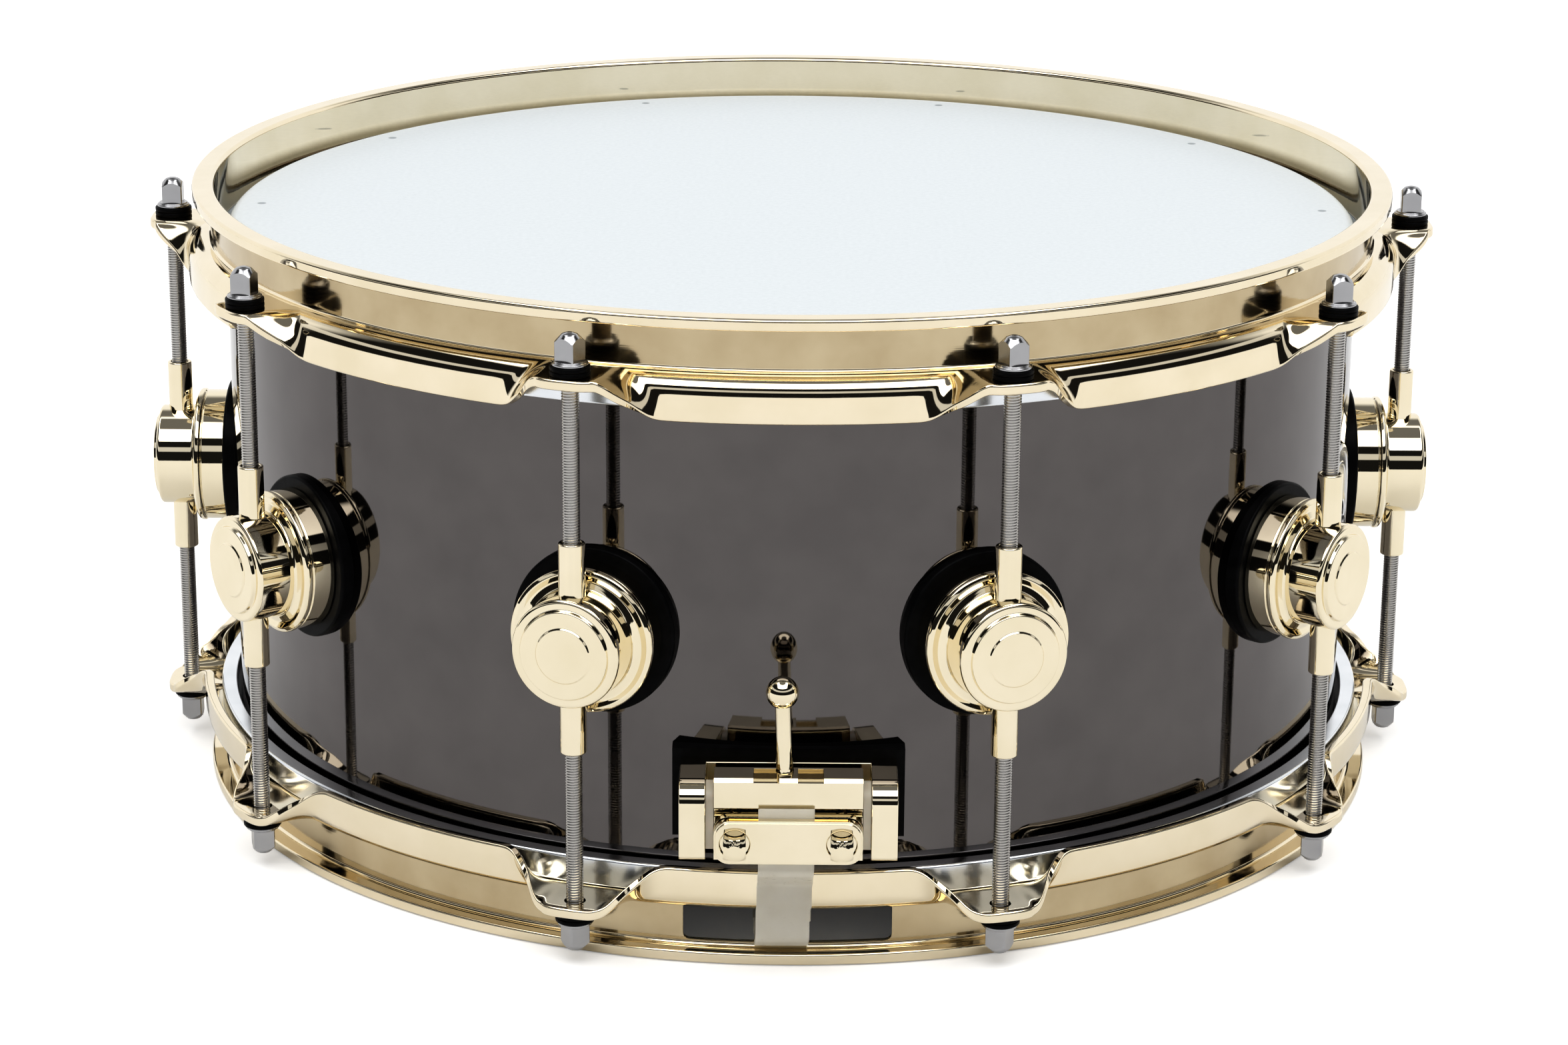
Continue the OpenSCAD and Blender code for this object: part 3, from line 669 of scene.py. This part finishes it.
def hoop_section(aside):
    """The whole hoop's section at a distance round it from the nearest tension rod."""
    corner = 0.7
    top, under, end_way, outward = bent_sheet(abs(aside))
    top[-1] = top[-1] - end_way * corner
    under[-1] = under[-1] - end_way * corner
    edge = sheet_edge(top[-1], under[-1], end_way, outward, corner)
    sheet = [(p.x, p.y) for p in top + edge + under[::-1]]

    # The corners of the lip, inside, outside and under it, then the wall's upper and lower ends.
    lip_low = RIM_Z - LIP_T
    rim = arc((WALL_IN_R + 1.4, RIM_Z - 1.4), 1.4, 180, 90, 6)
    rim += arc((LIP_R - 1.0, RIM_Z - 1.0), 1.0, 90, 0, 7)
    rim += arc((LIP_R - 0.7, lip_low + 0.7), 0.7, 0, -90, 6)
    rim += arc((WALL_OUT_R + 1.2, lip_low - 1.2), 1.2, 90, 180, 5)
    rim += arc((WALL_OUT_R + 0.9, FLANGE_TOP + 0.9), 0.9, 180, 270, 5)
    inside = arc((WALL_IN_R + 1.5, FLANGE_UNDER + 1.5), 1.5, 270, 180, 4)
    return rim + sheet + inside


def hoop_columns():
    """Angles round the hoop, close together at the ears; each with its distance from the rod."""
    fine = 28.2
    sector = LUG_STEP / 2 * ROD_R
    offsets = list(np.arange(-fine, fine, 0.6))
    offsets += list(np.linspace(fine, 2 * sector - fine, 26, endpoint=False))
    columns = []
    for i in range(LUGS):
        for offset in offsets:
            nearest = offset if offset <= sector else offset - 2 * sector
            columns.append((lug_angle(i) + offset / ROD_R, nearest))
    return columns


def add_hoop(mesh, node):
    """One bent hoop in place of its CAD rim and skirt; its wall shows the sheet's grain, with a painted
    darker reflection in its base colour.
    """
    mesh.materials.clear()
    mesh.materials.append(HOOP_GOLD)
    mesh.materials.append(HOOP_WALL_PAINTED_SHADE)
    for face in mesh.polygons:
        r = math.hypot(face.center.x, face.center.y) / MM
        z = abs(face.center.z) / MM
        on_wall = abs(r - WALL_OUT_R) < 0.05 and FLANGE_TOP + 0.9 < z < RIM_Z - LIP_T
        face.material_index = int(on_wall)
    parts = [name for name in NODES if name.startswith(node)]
    add_piece(mesh, HOOP_GOLD, "drum", parts, name=node + "_bent")


def build_hoops():
    """Both hoops: the lower one is the upper one turned over, with two gates cut in its wall."""
    points = []
    columns = hoop_columns()
    for angle, aside in columns:
        section = hoop_section(aside)
        points.extend((r * math.sin(angle), -r * math.cos(angle), z) for r, z in section)
    faces = grid_faces(len(columns), len(section))
    low, high = FLANGE_UNDER - 2, FLANGE_TOP + 2
    hole_points, hole_faces = lathe([(0, low), (EAR_HOLE_RAD, low), (EAR_HOLE_RAD, high), (0, high)], 32)
    hole_points[:, 1] -= ROD_R
    holes = at_every_lug(hole_points, hole_faces)
    top = cut(make_mesh("top_hoop_bent", points, faces), [holes], crease=40)
    add_hoop(top, "top_hoop")

    gate = rounded([
        (-GATE_HALF_W, GATE_LOW_Z, 1.8), (GATE_HALF_W, GATE_LOW_Z, 1.8),
        (GATE_HALF_W, GATE_TOP_Z, 1.2), (-GATE_HALF_W, GATE_TOP_Z, 1.2),
    ])
    near, far = WALL_IN_R - 7, SKIRT_R
    gates = [extrude(gate, -far, -near, "y"), extrude(gate, near, far, "y")]
    lower_holes = (flipped(holes[0]), holes[1])
    bottom = cut(make_mesh("bottom_hoop_bent", flipped(points), faces), [lower_holes, *gates], crease=40)
    add_hoop(bottom, "bottom_hoop")


# --- lugs ------------------------------------------------------------------------------------


def lug_turrets():
    """Outline from the seat out: base, groove, bead, neck, tower and the face's two steps."""
    seat = GASKET_TOP_R + 0.02
    body = rounded([
        (0, seat, 0), (LUG_BASE_RAD, seat, 0.5), (LUG_BASE_RAD, 187.3, 0.4), (20.5, 187.6, 0.3),
        (LUG_BEAD_RAD, 188.2, 0.6), (LUG_BEAD_RAD, 189.6, 0.9), (20.0, 190.4, 0.8),
        (18.2, 189.9, 1.2), (17.2, 190.3, 0.5), (LUG_TOWER_RAD, 190.8, 0.9),
        (LUG_TOWER_RAD, 202.6, 1.1), (13.2, 202.6, 0.35), (12.8, 203.7, 0.45),
        (8.2, 203.7, 0.25), (7.8, LUG_FACE_R, 0.25), (0, LUG_FACE_R, 0),
    ], 5)
    return make_mesh("lug_turrets", *at_every_lug(*lathe(body, 128, "out")), 40)


def lug_sleeves():
    """The round nuts that stand out of each lug, up and down, round the rods."""
    low, bore = 9.9, ROD_RAD + 0.12
    sleeve = rounded([
        (bore, low, 0), (SLEEVE_RAD, low, 0), (SLEEVE_RAD, SLEEVE_Z, 0.6),
        (ROD_RAD + 0.4, SLEEVE_Z, 0.2), (bore, SLEEVE_Z - 0.4, 0),
    ])
    points, faces = lathe(sleeve, 48)
    points[:, 1] -= ROD_R
    both = joined([(points, faces), (flipped(points), faces)])
    return make_mesh("lug_sleeve_tubes", *at_every_lug(*both), 40)


def lug_gaskets():
    """The rubber pads, flat under the lugs and bent to the shell on their inner side."""
    pad = rounded([(GASKET_RAD, 0, 0), (GASKET_RAD, GASKET_TOP_R, 0.9), (0, GASKET_TOP_R, 0)], 5)
    pad.insert(0, (0, 0))
    points, faces = lathe(pad, 96, "out")
    x, y = points[:, 0], points[:, 1]
    shell_y = -np.sqrt((SHELL_R + 0.02) ** 2 - x ** 2)
    points[:, 1] = np.where(np.abs(y) < 1, shell_y, y)
    return make_mesh("lug_gasket_pads", *at_every_lug(points, faces))


def build_lugs():
    add_piece(lug_turrets(), GOLD, "drum", ["lug_bodies"])
    add_piece(lug_sleeves(), GOLD, "drum", ["lug_sleeves"])
    add_piece(lug_gaskets(), RUBBER, "drum", ["lug_gaskets"])


# --- tension rods ----------------------------------------------------------------------------


def threaded_shank(start, end, radius, pitch, segments=24):
    """A cylinder with a real thread: root, flank, crest and flank in each turn.

    Each place across a turn is its share of the pitch and its height over the crest.
    """
    across = [(0.0, -THREAD_DEPTH), (0.30, 0.0), (0.52, 0.0), (0.82, -THREAD_DEPTH)]
    turns = int((end - start) / pitch)
    rows = turns * len(across) + 1
    points, faces = [], []
    for j in range(rows):
        part, depth = across[j % len(across)]
        base = start + pitch * (j // len(across) + part)
        for i in range(segments):
            a = 2 * math.pi * i / segments
            z = min(max(base + pitch * i / segments, start), end)
            r = radius + depth
            points.append((r * math.cos(a), r * math.sin(a), z))
    for j in range(rows - len(across)):
        for i in range(segments):
            along = i + 1 < segments
            a, b = j * segments + i, (j + 1) * segments + i
            c = (j + 1) * segments + i + 1 if along else (j + 1 + len(across)) * segments
            d = j * segments + i + 1 if along else (j + len(across)) * segments
            if max(a, b, c, d) < len(points):
                faces.append((a, d, c, b))
    return points, faces


def rod_washers():
    """The two stacked washers under every upper rod's head."""
    bore, rim = ROD_RAD + 0.15, 5.7
    washers = []
    for low in WASHER_LOWS:
        high = low + WASHER_T
        outline = rounded([(bore, low, 0), (rim, low, 0.35), (rim, high, 0.4), (bore, high, 0)])
        washers.append(lathe(outline, 48))
    points, faces = joined(washers)
    points[:, 1] -= ROD_R
    return at_every_lug(points, faces)


def rod_shank():
    """The threaded part that shows, and a plain core inside the lug."""
    shank = threaded_shank(25, 82.0, ROD_RAD, THREAD_PITCH)
    core = lathe(rounded([(0, 9.1, 0), (1.9, 9.1, 0), (2.3, 9.5, 0), (2.3, 26.5, 0), (0, 26.5, 0)]), 24)
    return make_mesh("rod_shank", *joined([shank, core]), 60)


def rod_head():
    """The round collar with the square, domed key head on it."""
    collar = lathe(rounded([
        (0, COLLAR_Z, 0), (5.1, COLLAR_Z, 0.25), (5.1, 82.75, 0.35),
        (4.5, 83.0, 0.2), (4.4, KEY_Z, 0.25), (0, KEY_Z, 0),
    ]), 64)
    half = KEY_HALF_W
    square = rounded([(-half, -half, 0.45), (half, -half, 0.45), (half, half, 0.45), (-half, half, 0.45)], 4)
    prism = make_mesh("key_prism", *extrude(square, KEY_Z - 0.2, KEY_TIP_Z + 1, "z"))
    dome = lathe(rounded([
        (0, KEY_Z - 1, 0), (4.6, KEY_Z - 1, 0), (4.6, KEY_TIP_Z - 3.0, 0),
        (2.2, KEY_TIP_Z - 0.4, 1.6), (0.9, KEY_TIP_Z, 0.8), (0, KEY_TIP_Z, 0),
    ], 6), 64)
    key = cut(prism, [dome], "INTERSECT", 25)
    key_points = [v.co / MM for v in key.vertices]
    key_faces = [tuple(p.vertices) for p in key.polygons]
    return make_mesh("rod_head", *joined([collar, (key_points, key_faces)]), 25)


def build_rods():
    """All twenty rods, their heads each turned to a different angle, and the washers."""
    points, faces = rod_washers()
    for side, node in ((1, "top_rod_washers"), (-1, "bottom_rod_washers")):
        placed = points if side > 0 else flipped(points)
        add_piece(make_mesh(node + "_stack", placed, faces), RUBBER, "drum", [node])

    shank_mesh = rod_shank()
    head_mesh = rod_head()
    first_facing, facing_step = 12, 37
    half_turn = Matrix.Rotation(math.pi, 4, "Y")
    for side, upside in (("top", Matrix.Identity(4)), ("bottom", half_turn)):
        for i in range(LUGS):
            node = f"{side}_rod_{i + 1:02d}"
            low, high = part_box(node)
            place = Matrix.Translation(((low.x + high.x) / 2, (low.y + high.y) / 2, 0))
            turn = lug_angle(i) + math.radians(first_facing + facing_step * i)
            spot = place @ upside @ Matrix.Rotation(turn, 4, "Z")
            add_piece(shank_mesh, ROD_STEEL, node, [node], name=node + "_shank", place=spot)
            add_piece(head_mesh, HEAD_STEEL, node, [node], name=node + "_head", place=spot)


# --- badge, clamps and snares ----------------------------------------------------------------


def build_badge():
    """A plain round plate with a raised rim and rings, bent to the shell."""
    rim_top, ring_top, back = 1.15, 1.0, 0.06
    outline = rounded([
        (VENT_RAD, back, 0), (BADGE_RAD, back, 0), (BADGE_RAD, BADGE_T, 0.3),
        (20.6, rim_top, 0.25), (19.3, rim_top, 0.2), (18.9, BADGE_T, 0.15), (16.2, BADGE_T, 0.15),
        (15.9, ring_top, 0.15), (15.2, ring_top, 0.15), (14.9, BADGE_T, 0.15), (VENT_RAD, BADGE_T, 0),
    ])
    points, faces = lathe(outline, 128, "out")
    points[:, 1] -= np.sqrt(SHELL_R ** 2 - points[:, 0] ** 2)
    mesh = make_mesh("badge_rings", turned(points, BADGE_ANGLE), faces)
    add_piece(mesh, BADGE_METAL, "drum", ["badge"])


# The clamps' cast parts: the CAD node, its body, and how far its edges are rounded.
CAST_PARTS = (
    ("strainer_base", "drum", 0.55),
    ("strainer_nylon_liners", "drum", 0.12),
    ("lever_block", "lever", 0.45),
    ("strainer_carriage", "strainer_clamp", 0.4),
    ("strainer_clamp_jaw", "strainer_clamp", 0.4),
    ("strainer_clamp_screws", "strainer_clamp", 0.25),
    ("butt_base", "drum", 0.55),
    ("butt_carriage", "butt_clamp", 0.4),
    ("butt_clamp_jaw", "butt_clamp", 0.4),
    ("butt_clamp_screws", "butt_clamp", 0.25),
    ("butt_adjuster_knob", "butt_knob", 0.2),
)


def build_clamps():
    """Both snare clamps: the CAD's own shapes with cast edges, and a turned lever."""
    for node, body, width in CAST_PARTS:
        plastic = node == "strainer_nylon_liners"
        refined(node, NYLON if plastic else GOLD, body, width)

    aside, rise, lean = -0.9, 3.4, math.radians(-2)
    foot = Vector((aside, PIVOT[0], PIVOT[1] + rise)) * MM
    place = Matrix.Translation(foot) @ Matrix.Rotation(lean, 4, "Y")
    neck = STEM_RAD - 0.1
    stem = rounded([
        (0, 0, 0), (STEM_RAD, 0, 0), (STEM_RAD, 5.1, 0), (2.6, 5.3, 0.3), (2.45, 6.4, 0.8),
        (STEM_RAD, 14, 6), (neck, 22, 1), (neck, STEM_RISE, 0), (0, STEM_RISE, 0),
    ])
    stem_mesh = make_mesh("lever_stem_turned", *lathe(stem, 48))
    add_piece(stem_mesh, GOLD, "lever", ["lever_stem"], place=place)
    ball = [(0, BALL_RISE - 3.9)] + arc((0, BALL_RISE), BALL_RAD, -57, 90, 28)
    ball_mesh = make_mesh("lever_ball_turned", *lathe(ball, 64), 50)
    add_piece(ball_mesh, GOLD, "lever", ["lever_ball"], place=place)


def film_strip(path, middles, width, thickness):
    """A strip of film along a path of (y, z) points, its middle moving sideways as it goes."""
    path = [Vector(p) for p in path]
    last = len(path) - 1
    points = []
    for k, here in enumerate(path):
        way = (path[min(k + 1, last)] - path[max(k - 1, 0)]).normalized()
        aside = Vector((-way.y, way.x)) * thickness / 2
        middle = middles[0] + (middles[1] - middles[0]) * k / last
        left, right = middle - width / 2, middle + width / 2
        near, far = here + aside, here - aside
        points += [(left, *near), (right, *near), (right, *far), (left, *far)]
    faces = grid_faces(len(path), 4, close_columns=False)
    faces += [(3, 2, 1, 0), tuple(range(len(points) - 4, len(points)))]
    return points, faces


def build_front_strap():
    """The front strap: a film that goes in low through the gate, and its tail behind it."""
    low, high = ((corner - MIDDLE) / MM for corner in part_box("snare_strap_front"))
    jaw_foot = (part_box("strainer_clamp_jaw")[0].z - MIDDLE.z) / MM
    front = low.y + 0.4
    layer = 0.22
    bend_z = jaw_foot - 4.6
    inner_z = -86.6
    skirt_y = -SKIRT_R
    outer = rounded([
        (front - layer, high.z, 0), (front - layer, bend_z, 3),
        (skirt_y - 2.4, -SKIRT_Z - 2.2, 3), (skirt_y - 1.2, -FLANGE_UNDER, 6),
        (skirt_y - 1.6, -86.0, 2.5), (skirt_y + 2.5, -89.3, 2.5), (-WALL_IN_R + 2, -89.0, 3),
        (-SHELL_R + 4, inner_z, 1), (high.y, inner_z, 0),
    ], 6)
    tail = rounded([
        (front + layer, high.z, 0), (front + layer, bend_z, 3),
        (skirt_y - 1.9, -SKIRT_Z - 2.4, 3), (skirt_y - 0.7, -FLANGE_UNDER, 6),
        (skirt_y - 0.7, -80.3, 0),
    ], 6)
    points, faces = joined([
        film_strip(outer, (-0.7, -2.4), STRAP_W, FILM_T),
        film_strip(tail, (-0.4, -1.2), TAIL_W, FILM_T),
    ])
    mesh = make_mesh("snare_strap_front_films", points, faces)
    add_piece(mesh, STRAP, "strainer_clamp", ["snare_strap_front"])


def build_snares():
    """Twenty coiled wires side by side."""
    low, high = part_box("snare_wires")
    middle = (low.z + high.z) / 2 / MM - MIDDLE.z / MM
    coil_rad = (high.z - low.z) / 2 / MM - WIRE_RAD
    rows = int(2 * WIRE_HALF / COIL_PITCH) * COIL_SIDES + 1
    step = np.arange(rows)
    turn = step * 2 * math.pi / COIL_SIDES
    along = -WIRE_HALF + COIL_PITCH * step / COIL_SIDES
    rings = []
    for k in range(WIRE_SIDES):
        side = 2 * math.pi * k / WIRE_SIDES
        r = coil_rad + WIRE_RAD * math.cos(side)
        ring = [r * np.cos(turn), along + WIRE_RAD * math.sin(side), r * np.sin(turn)]
        rings.append(np.stack(ring, axis=-1))
    coil = np.stack(rings, axis=1).reshape(-1, 3)
    faces = grid_faces(rows, WIRE_SIDES, close_columns=False)
    faces += [tuple(range(WIRE_SIDES)), tuple(range((rows - 1) * WIRE_SIDES, rows * WIRE_SIDES))]
    coils = []
    for k in range(WIRES):
        aside = (k - (WIRES - 1) / 2) * WIRE_PITCH
        coils.append((coil + np.array([aside, 0, middle]), faces))
    mesh = make_mesh("snare_coils", *joined(coils), 80)
    add_piece(mesh, SNARE_STEEL, "drum", ["snare_wires"])


# --- CAD nodes that keep their shape ---------------------------------------------------------

KEPT = {
    "vent_grommet": (CHROME, "vent_grommet"),
    "lug_mount_screws": (CHROME, "screw_steel"),
    "strainer_gasket": (RUBBER, "rubber"),
    "strainer_pivot_pin": (CHROME, "screw_steel"),
    "strainer_mount_screws": (CHROME, "screw_steel"),
    "butt_gasket": (RUBBER, "rubber"),
    "butt_mount_screws": (CHROME, "screw_steel"),
    "snare_strap_rear": (STRAP, "strap"),
    "snare_end_plates": (END_BRASS, "end_plate"),
}


def finish_kept_nodes():
    for node, (material, slot) in KEPT.items():
        obj = NODES[node]
        obj.data.materials.clear()
        obj.data.materials.append(material)


# --- camera, floor and light -----------------------------------------------------------------


# The camera was fitted to the drum's rods, lugs and edges: where it looks and from how far, in
# metres, and its tilt, roll and turn in degrees.
CAMERA_TARGET = Vector((0, 0, 0.0734))
CAMERA_DISTANCE = 1.311
CAMERA_ELEVATION, CAMERA_ROLL, CAMERA_YAW = 17.62, -0.434, 0.08
CAMERA_LENS = 92.68
CAMERA_SHIFT = -0.00357


def build_camera():
    """A long lens a little above the rim."""
    elevation, roll, yaw = (math.radians(a) for a in (CAMERA_ELEVATION, CAMERA_ROLL, CAMERA_YAW))
    forward = Vector((math.sin(yaw), math.cos(yaw), 0))
    level = Vector((math.cos(yaw), -math.sin(yaw), 0))
    upright = forward * math.sin(elevation) + Vector((0, 0, math.cos(elevation)))
    back = -forward * math.cos(elevation) + Vector((0, 0, math.sin(elevation)))
    right = level * math.cos(roll) - upright * math.sin(roll)
    up = level * math.sin(roll) + upright * math.cos(roll)
    camera = bpy.data.objects.new("camera", bpy.data.cameras.new("camera"))
    bpy.context.scene.collection.objects.link(camera)
    facing = Matrix((right, up, back)).transposed().to_4x4()
    camera.matrix_world = Matrix.Translation(CAMERA_TARGET + back * CAMERA_DISTANCE) @ facing
    camera.data.sensor_width = 36
    camera.data.lens = CAMERA_LENS
    camera.data.shift_x = CAMERA_SHIFT
    camera.data.clip_start = 0.05
    bpy.context.scene.camera = camera


# How much the floor is brightened for the camera, outside the drum and under it.
FLOOR_LIFT = 0.30
UNDER_DRUM_LIFT = 0.03
FLOOR_HALF = 6.0
FLOOR_Z = -0.0003


def build_floor():
    """A white floor, seen a little overexposed as on the photograph's white ground."""
    half = FLOOR_HALF
    corners = [(-half, -half, 0), (half, -half, 0), (half, half, 0), (-half, half, 0)]
    mesh = bpy.data.meshes.new("floor")
    mesh.from_pydata(corners, [], [(0, 1, 2, 3)])
    m = Material("white_floor")
    m.colours(m.noise(2, 2), (0.90, 0.90, 0.90), (0.93, 0.93, 0.93))
    m.set(Roughness=0.9, Specular_IOR_Level=0.0)
    m.set(Emission_Color=(1, 1, 1, 1))
    seen = m.add("ShaderNodeLightPath").outputs["Is Camera Ray"]
    reach = m.add("ShaderNodeVectorMath")
    reach.operation = "LENGTH"
    m.link(m.where, reach.inputs[0])
    inner, outer = (WALL_IN_R - 2) * MM, LIP_R * MM
    lift = map_range(m.tree, reach.outputs["Value"], inner, outer, UNDER_DRUM_LIFT, FLOOR_LIFT, "LINEAR")
    m.link(maths(m.tree, "MULTIPLY", seen, lift), m.shader.inputs["Emission Strength"])
    mesh.materials.append(m.made)
    floor = bpy.data.objects.new("floor", mesh)
    floor.location.z = FLOOR_Z
    bpy.context.scene.collection.objects.link(floor)


# What the studio shows in front of the drum, where the camera is: mostly dark, with lights of a
# lowest and highest height from the horizon (0) to straight up (1), a half width (1 reaches the
# sides) and a brightness.
DARK = 0.012
FRONT_LIGHTS = ((0.34, 0.50, 1.1, 0.6), (0.69, 0.95, 0.5, 3.5))
HEIGHT_BLUR = 0.012
WIDTH_BLUR = 0.05
# Behind the drum is a bright backdrop that fades into the ceiling between two heights; the ceiling
# alone is seen from the last height up. The front turns into the back between two Y directions.
BACKDROP = 0.88
CEILING = 0.16
BACKDROP_FADE = (0.55, 0.75)
CEILING_FADE = (0.94, 0.97)
BACK_TO_FRONT = (0.42, 0.16)


def build_world():
    """A studio whose dark side and soft boxes, behind the camera, give the metal its bands.

    Only what the metal and the floor see has these: the camera itself sees plain white.
    """
    world = bpy.data.worlds.new("studio")
    world.use_nodes = True
    bpy.context.scene.world = world
    tree = world.node_tree
    background = tree.nodes["Background"]
    where = tree.nodes.new("ShaderNodeTexCoord")
    split = tree.nodes.new("ShaderNodeSeparateXYZ")
    tree.links.new(where.outputs["Generated"], split.inputs["Vector"])

    def mixed(share, first, second):
        rest = maths(tree, "SUBTRACT", 1.0, share)
        parts = maths(tree, "MULTIPLY", rest, first), maths(tree, "MULTIPLY", share, second)
        return maths(tree, "ADD", *parts)

    x, y, z = (split.outputs[k] for k in "XYZ")
    aside = maths(tree, "ABSOLUTE", x)
    front = DARK
    for low, high, half_width, level in FRONT_LIGHTS:
        above = map_range(tree, z, low - HEIGHT_BLUR, low + HEIGHT_BLUR)
        below = map_range(tree, z, high + HEIGHT_BLUR, high - HEIGHT_BLUR)
        within = map_range(tree, aside, half_width + WIDTH_BLUR, half_width - WIDTH_BLUR)
        inside = maths(tree, "MULTIPLY", maths(tree, "MULTIPLY", above, below), within)
        front = mixed(inside, front, level)
    backdrop = mixed(map_range(tree, z, *BACKDROP_FADE), BACKDROP, CEILING)
    light = mixed(map_range(tree, y, *BACK_TO_FRONT), backdrop, front)
    light = mixed(map_range(tree, z, *CEILING_FADE), light, CEILING)
    seen = tree.nodes.new("ShaderNodeLightPath").outputs["Is Camera Ray"]
    tree.links.new(mixed(seen, light, 1.0), background.inputs["Strength"])
    background.inputs["Color"].default_value = (1, 1, 1, 1)


build_camera()
build_floor()
build_world()
build_shell()
build_heads()
build_hoops()
build_lugs()
build_rods()
build_badge()
build_clamps()
build_front_strap()
build_snares()
finish_kept_nodes()

bpy.context.scene.view_settings.view_transform = "Standard"
bpy.context.scene.view_settings.look = "Medium High Contrast"
bpy.context.view_layer.update()
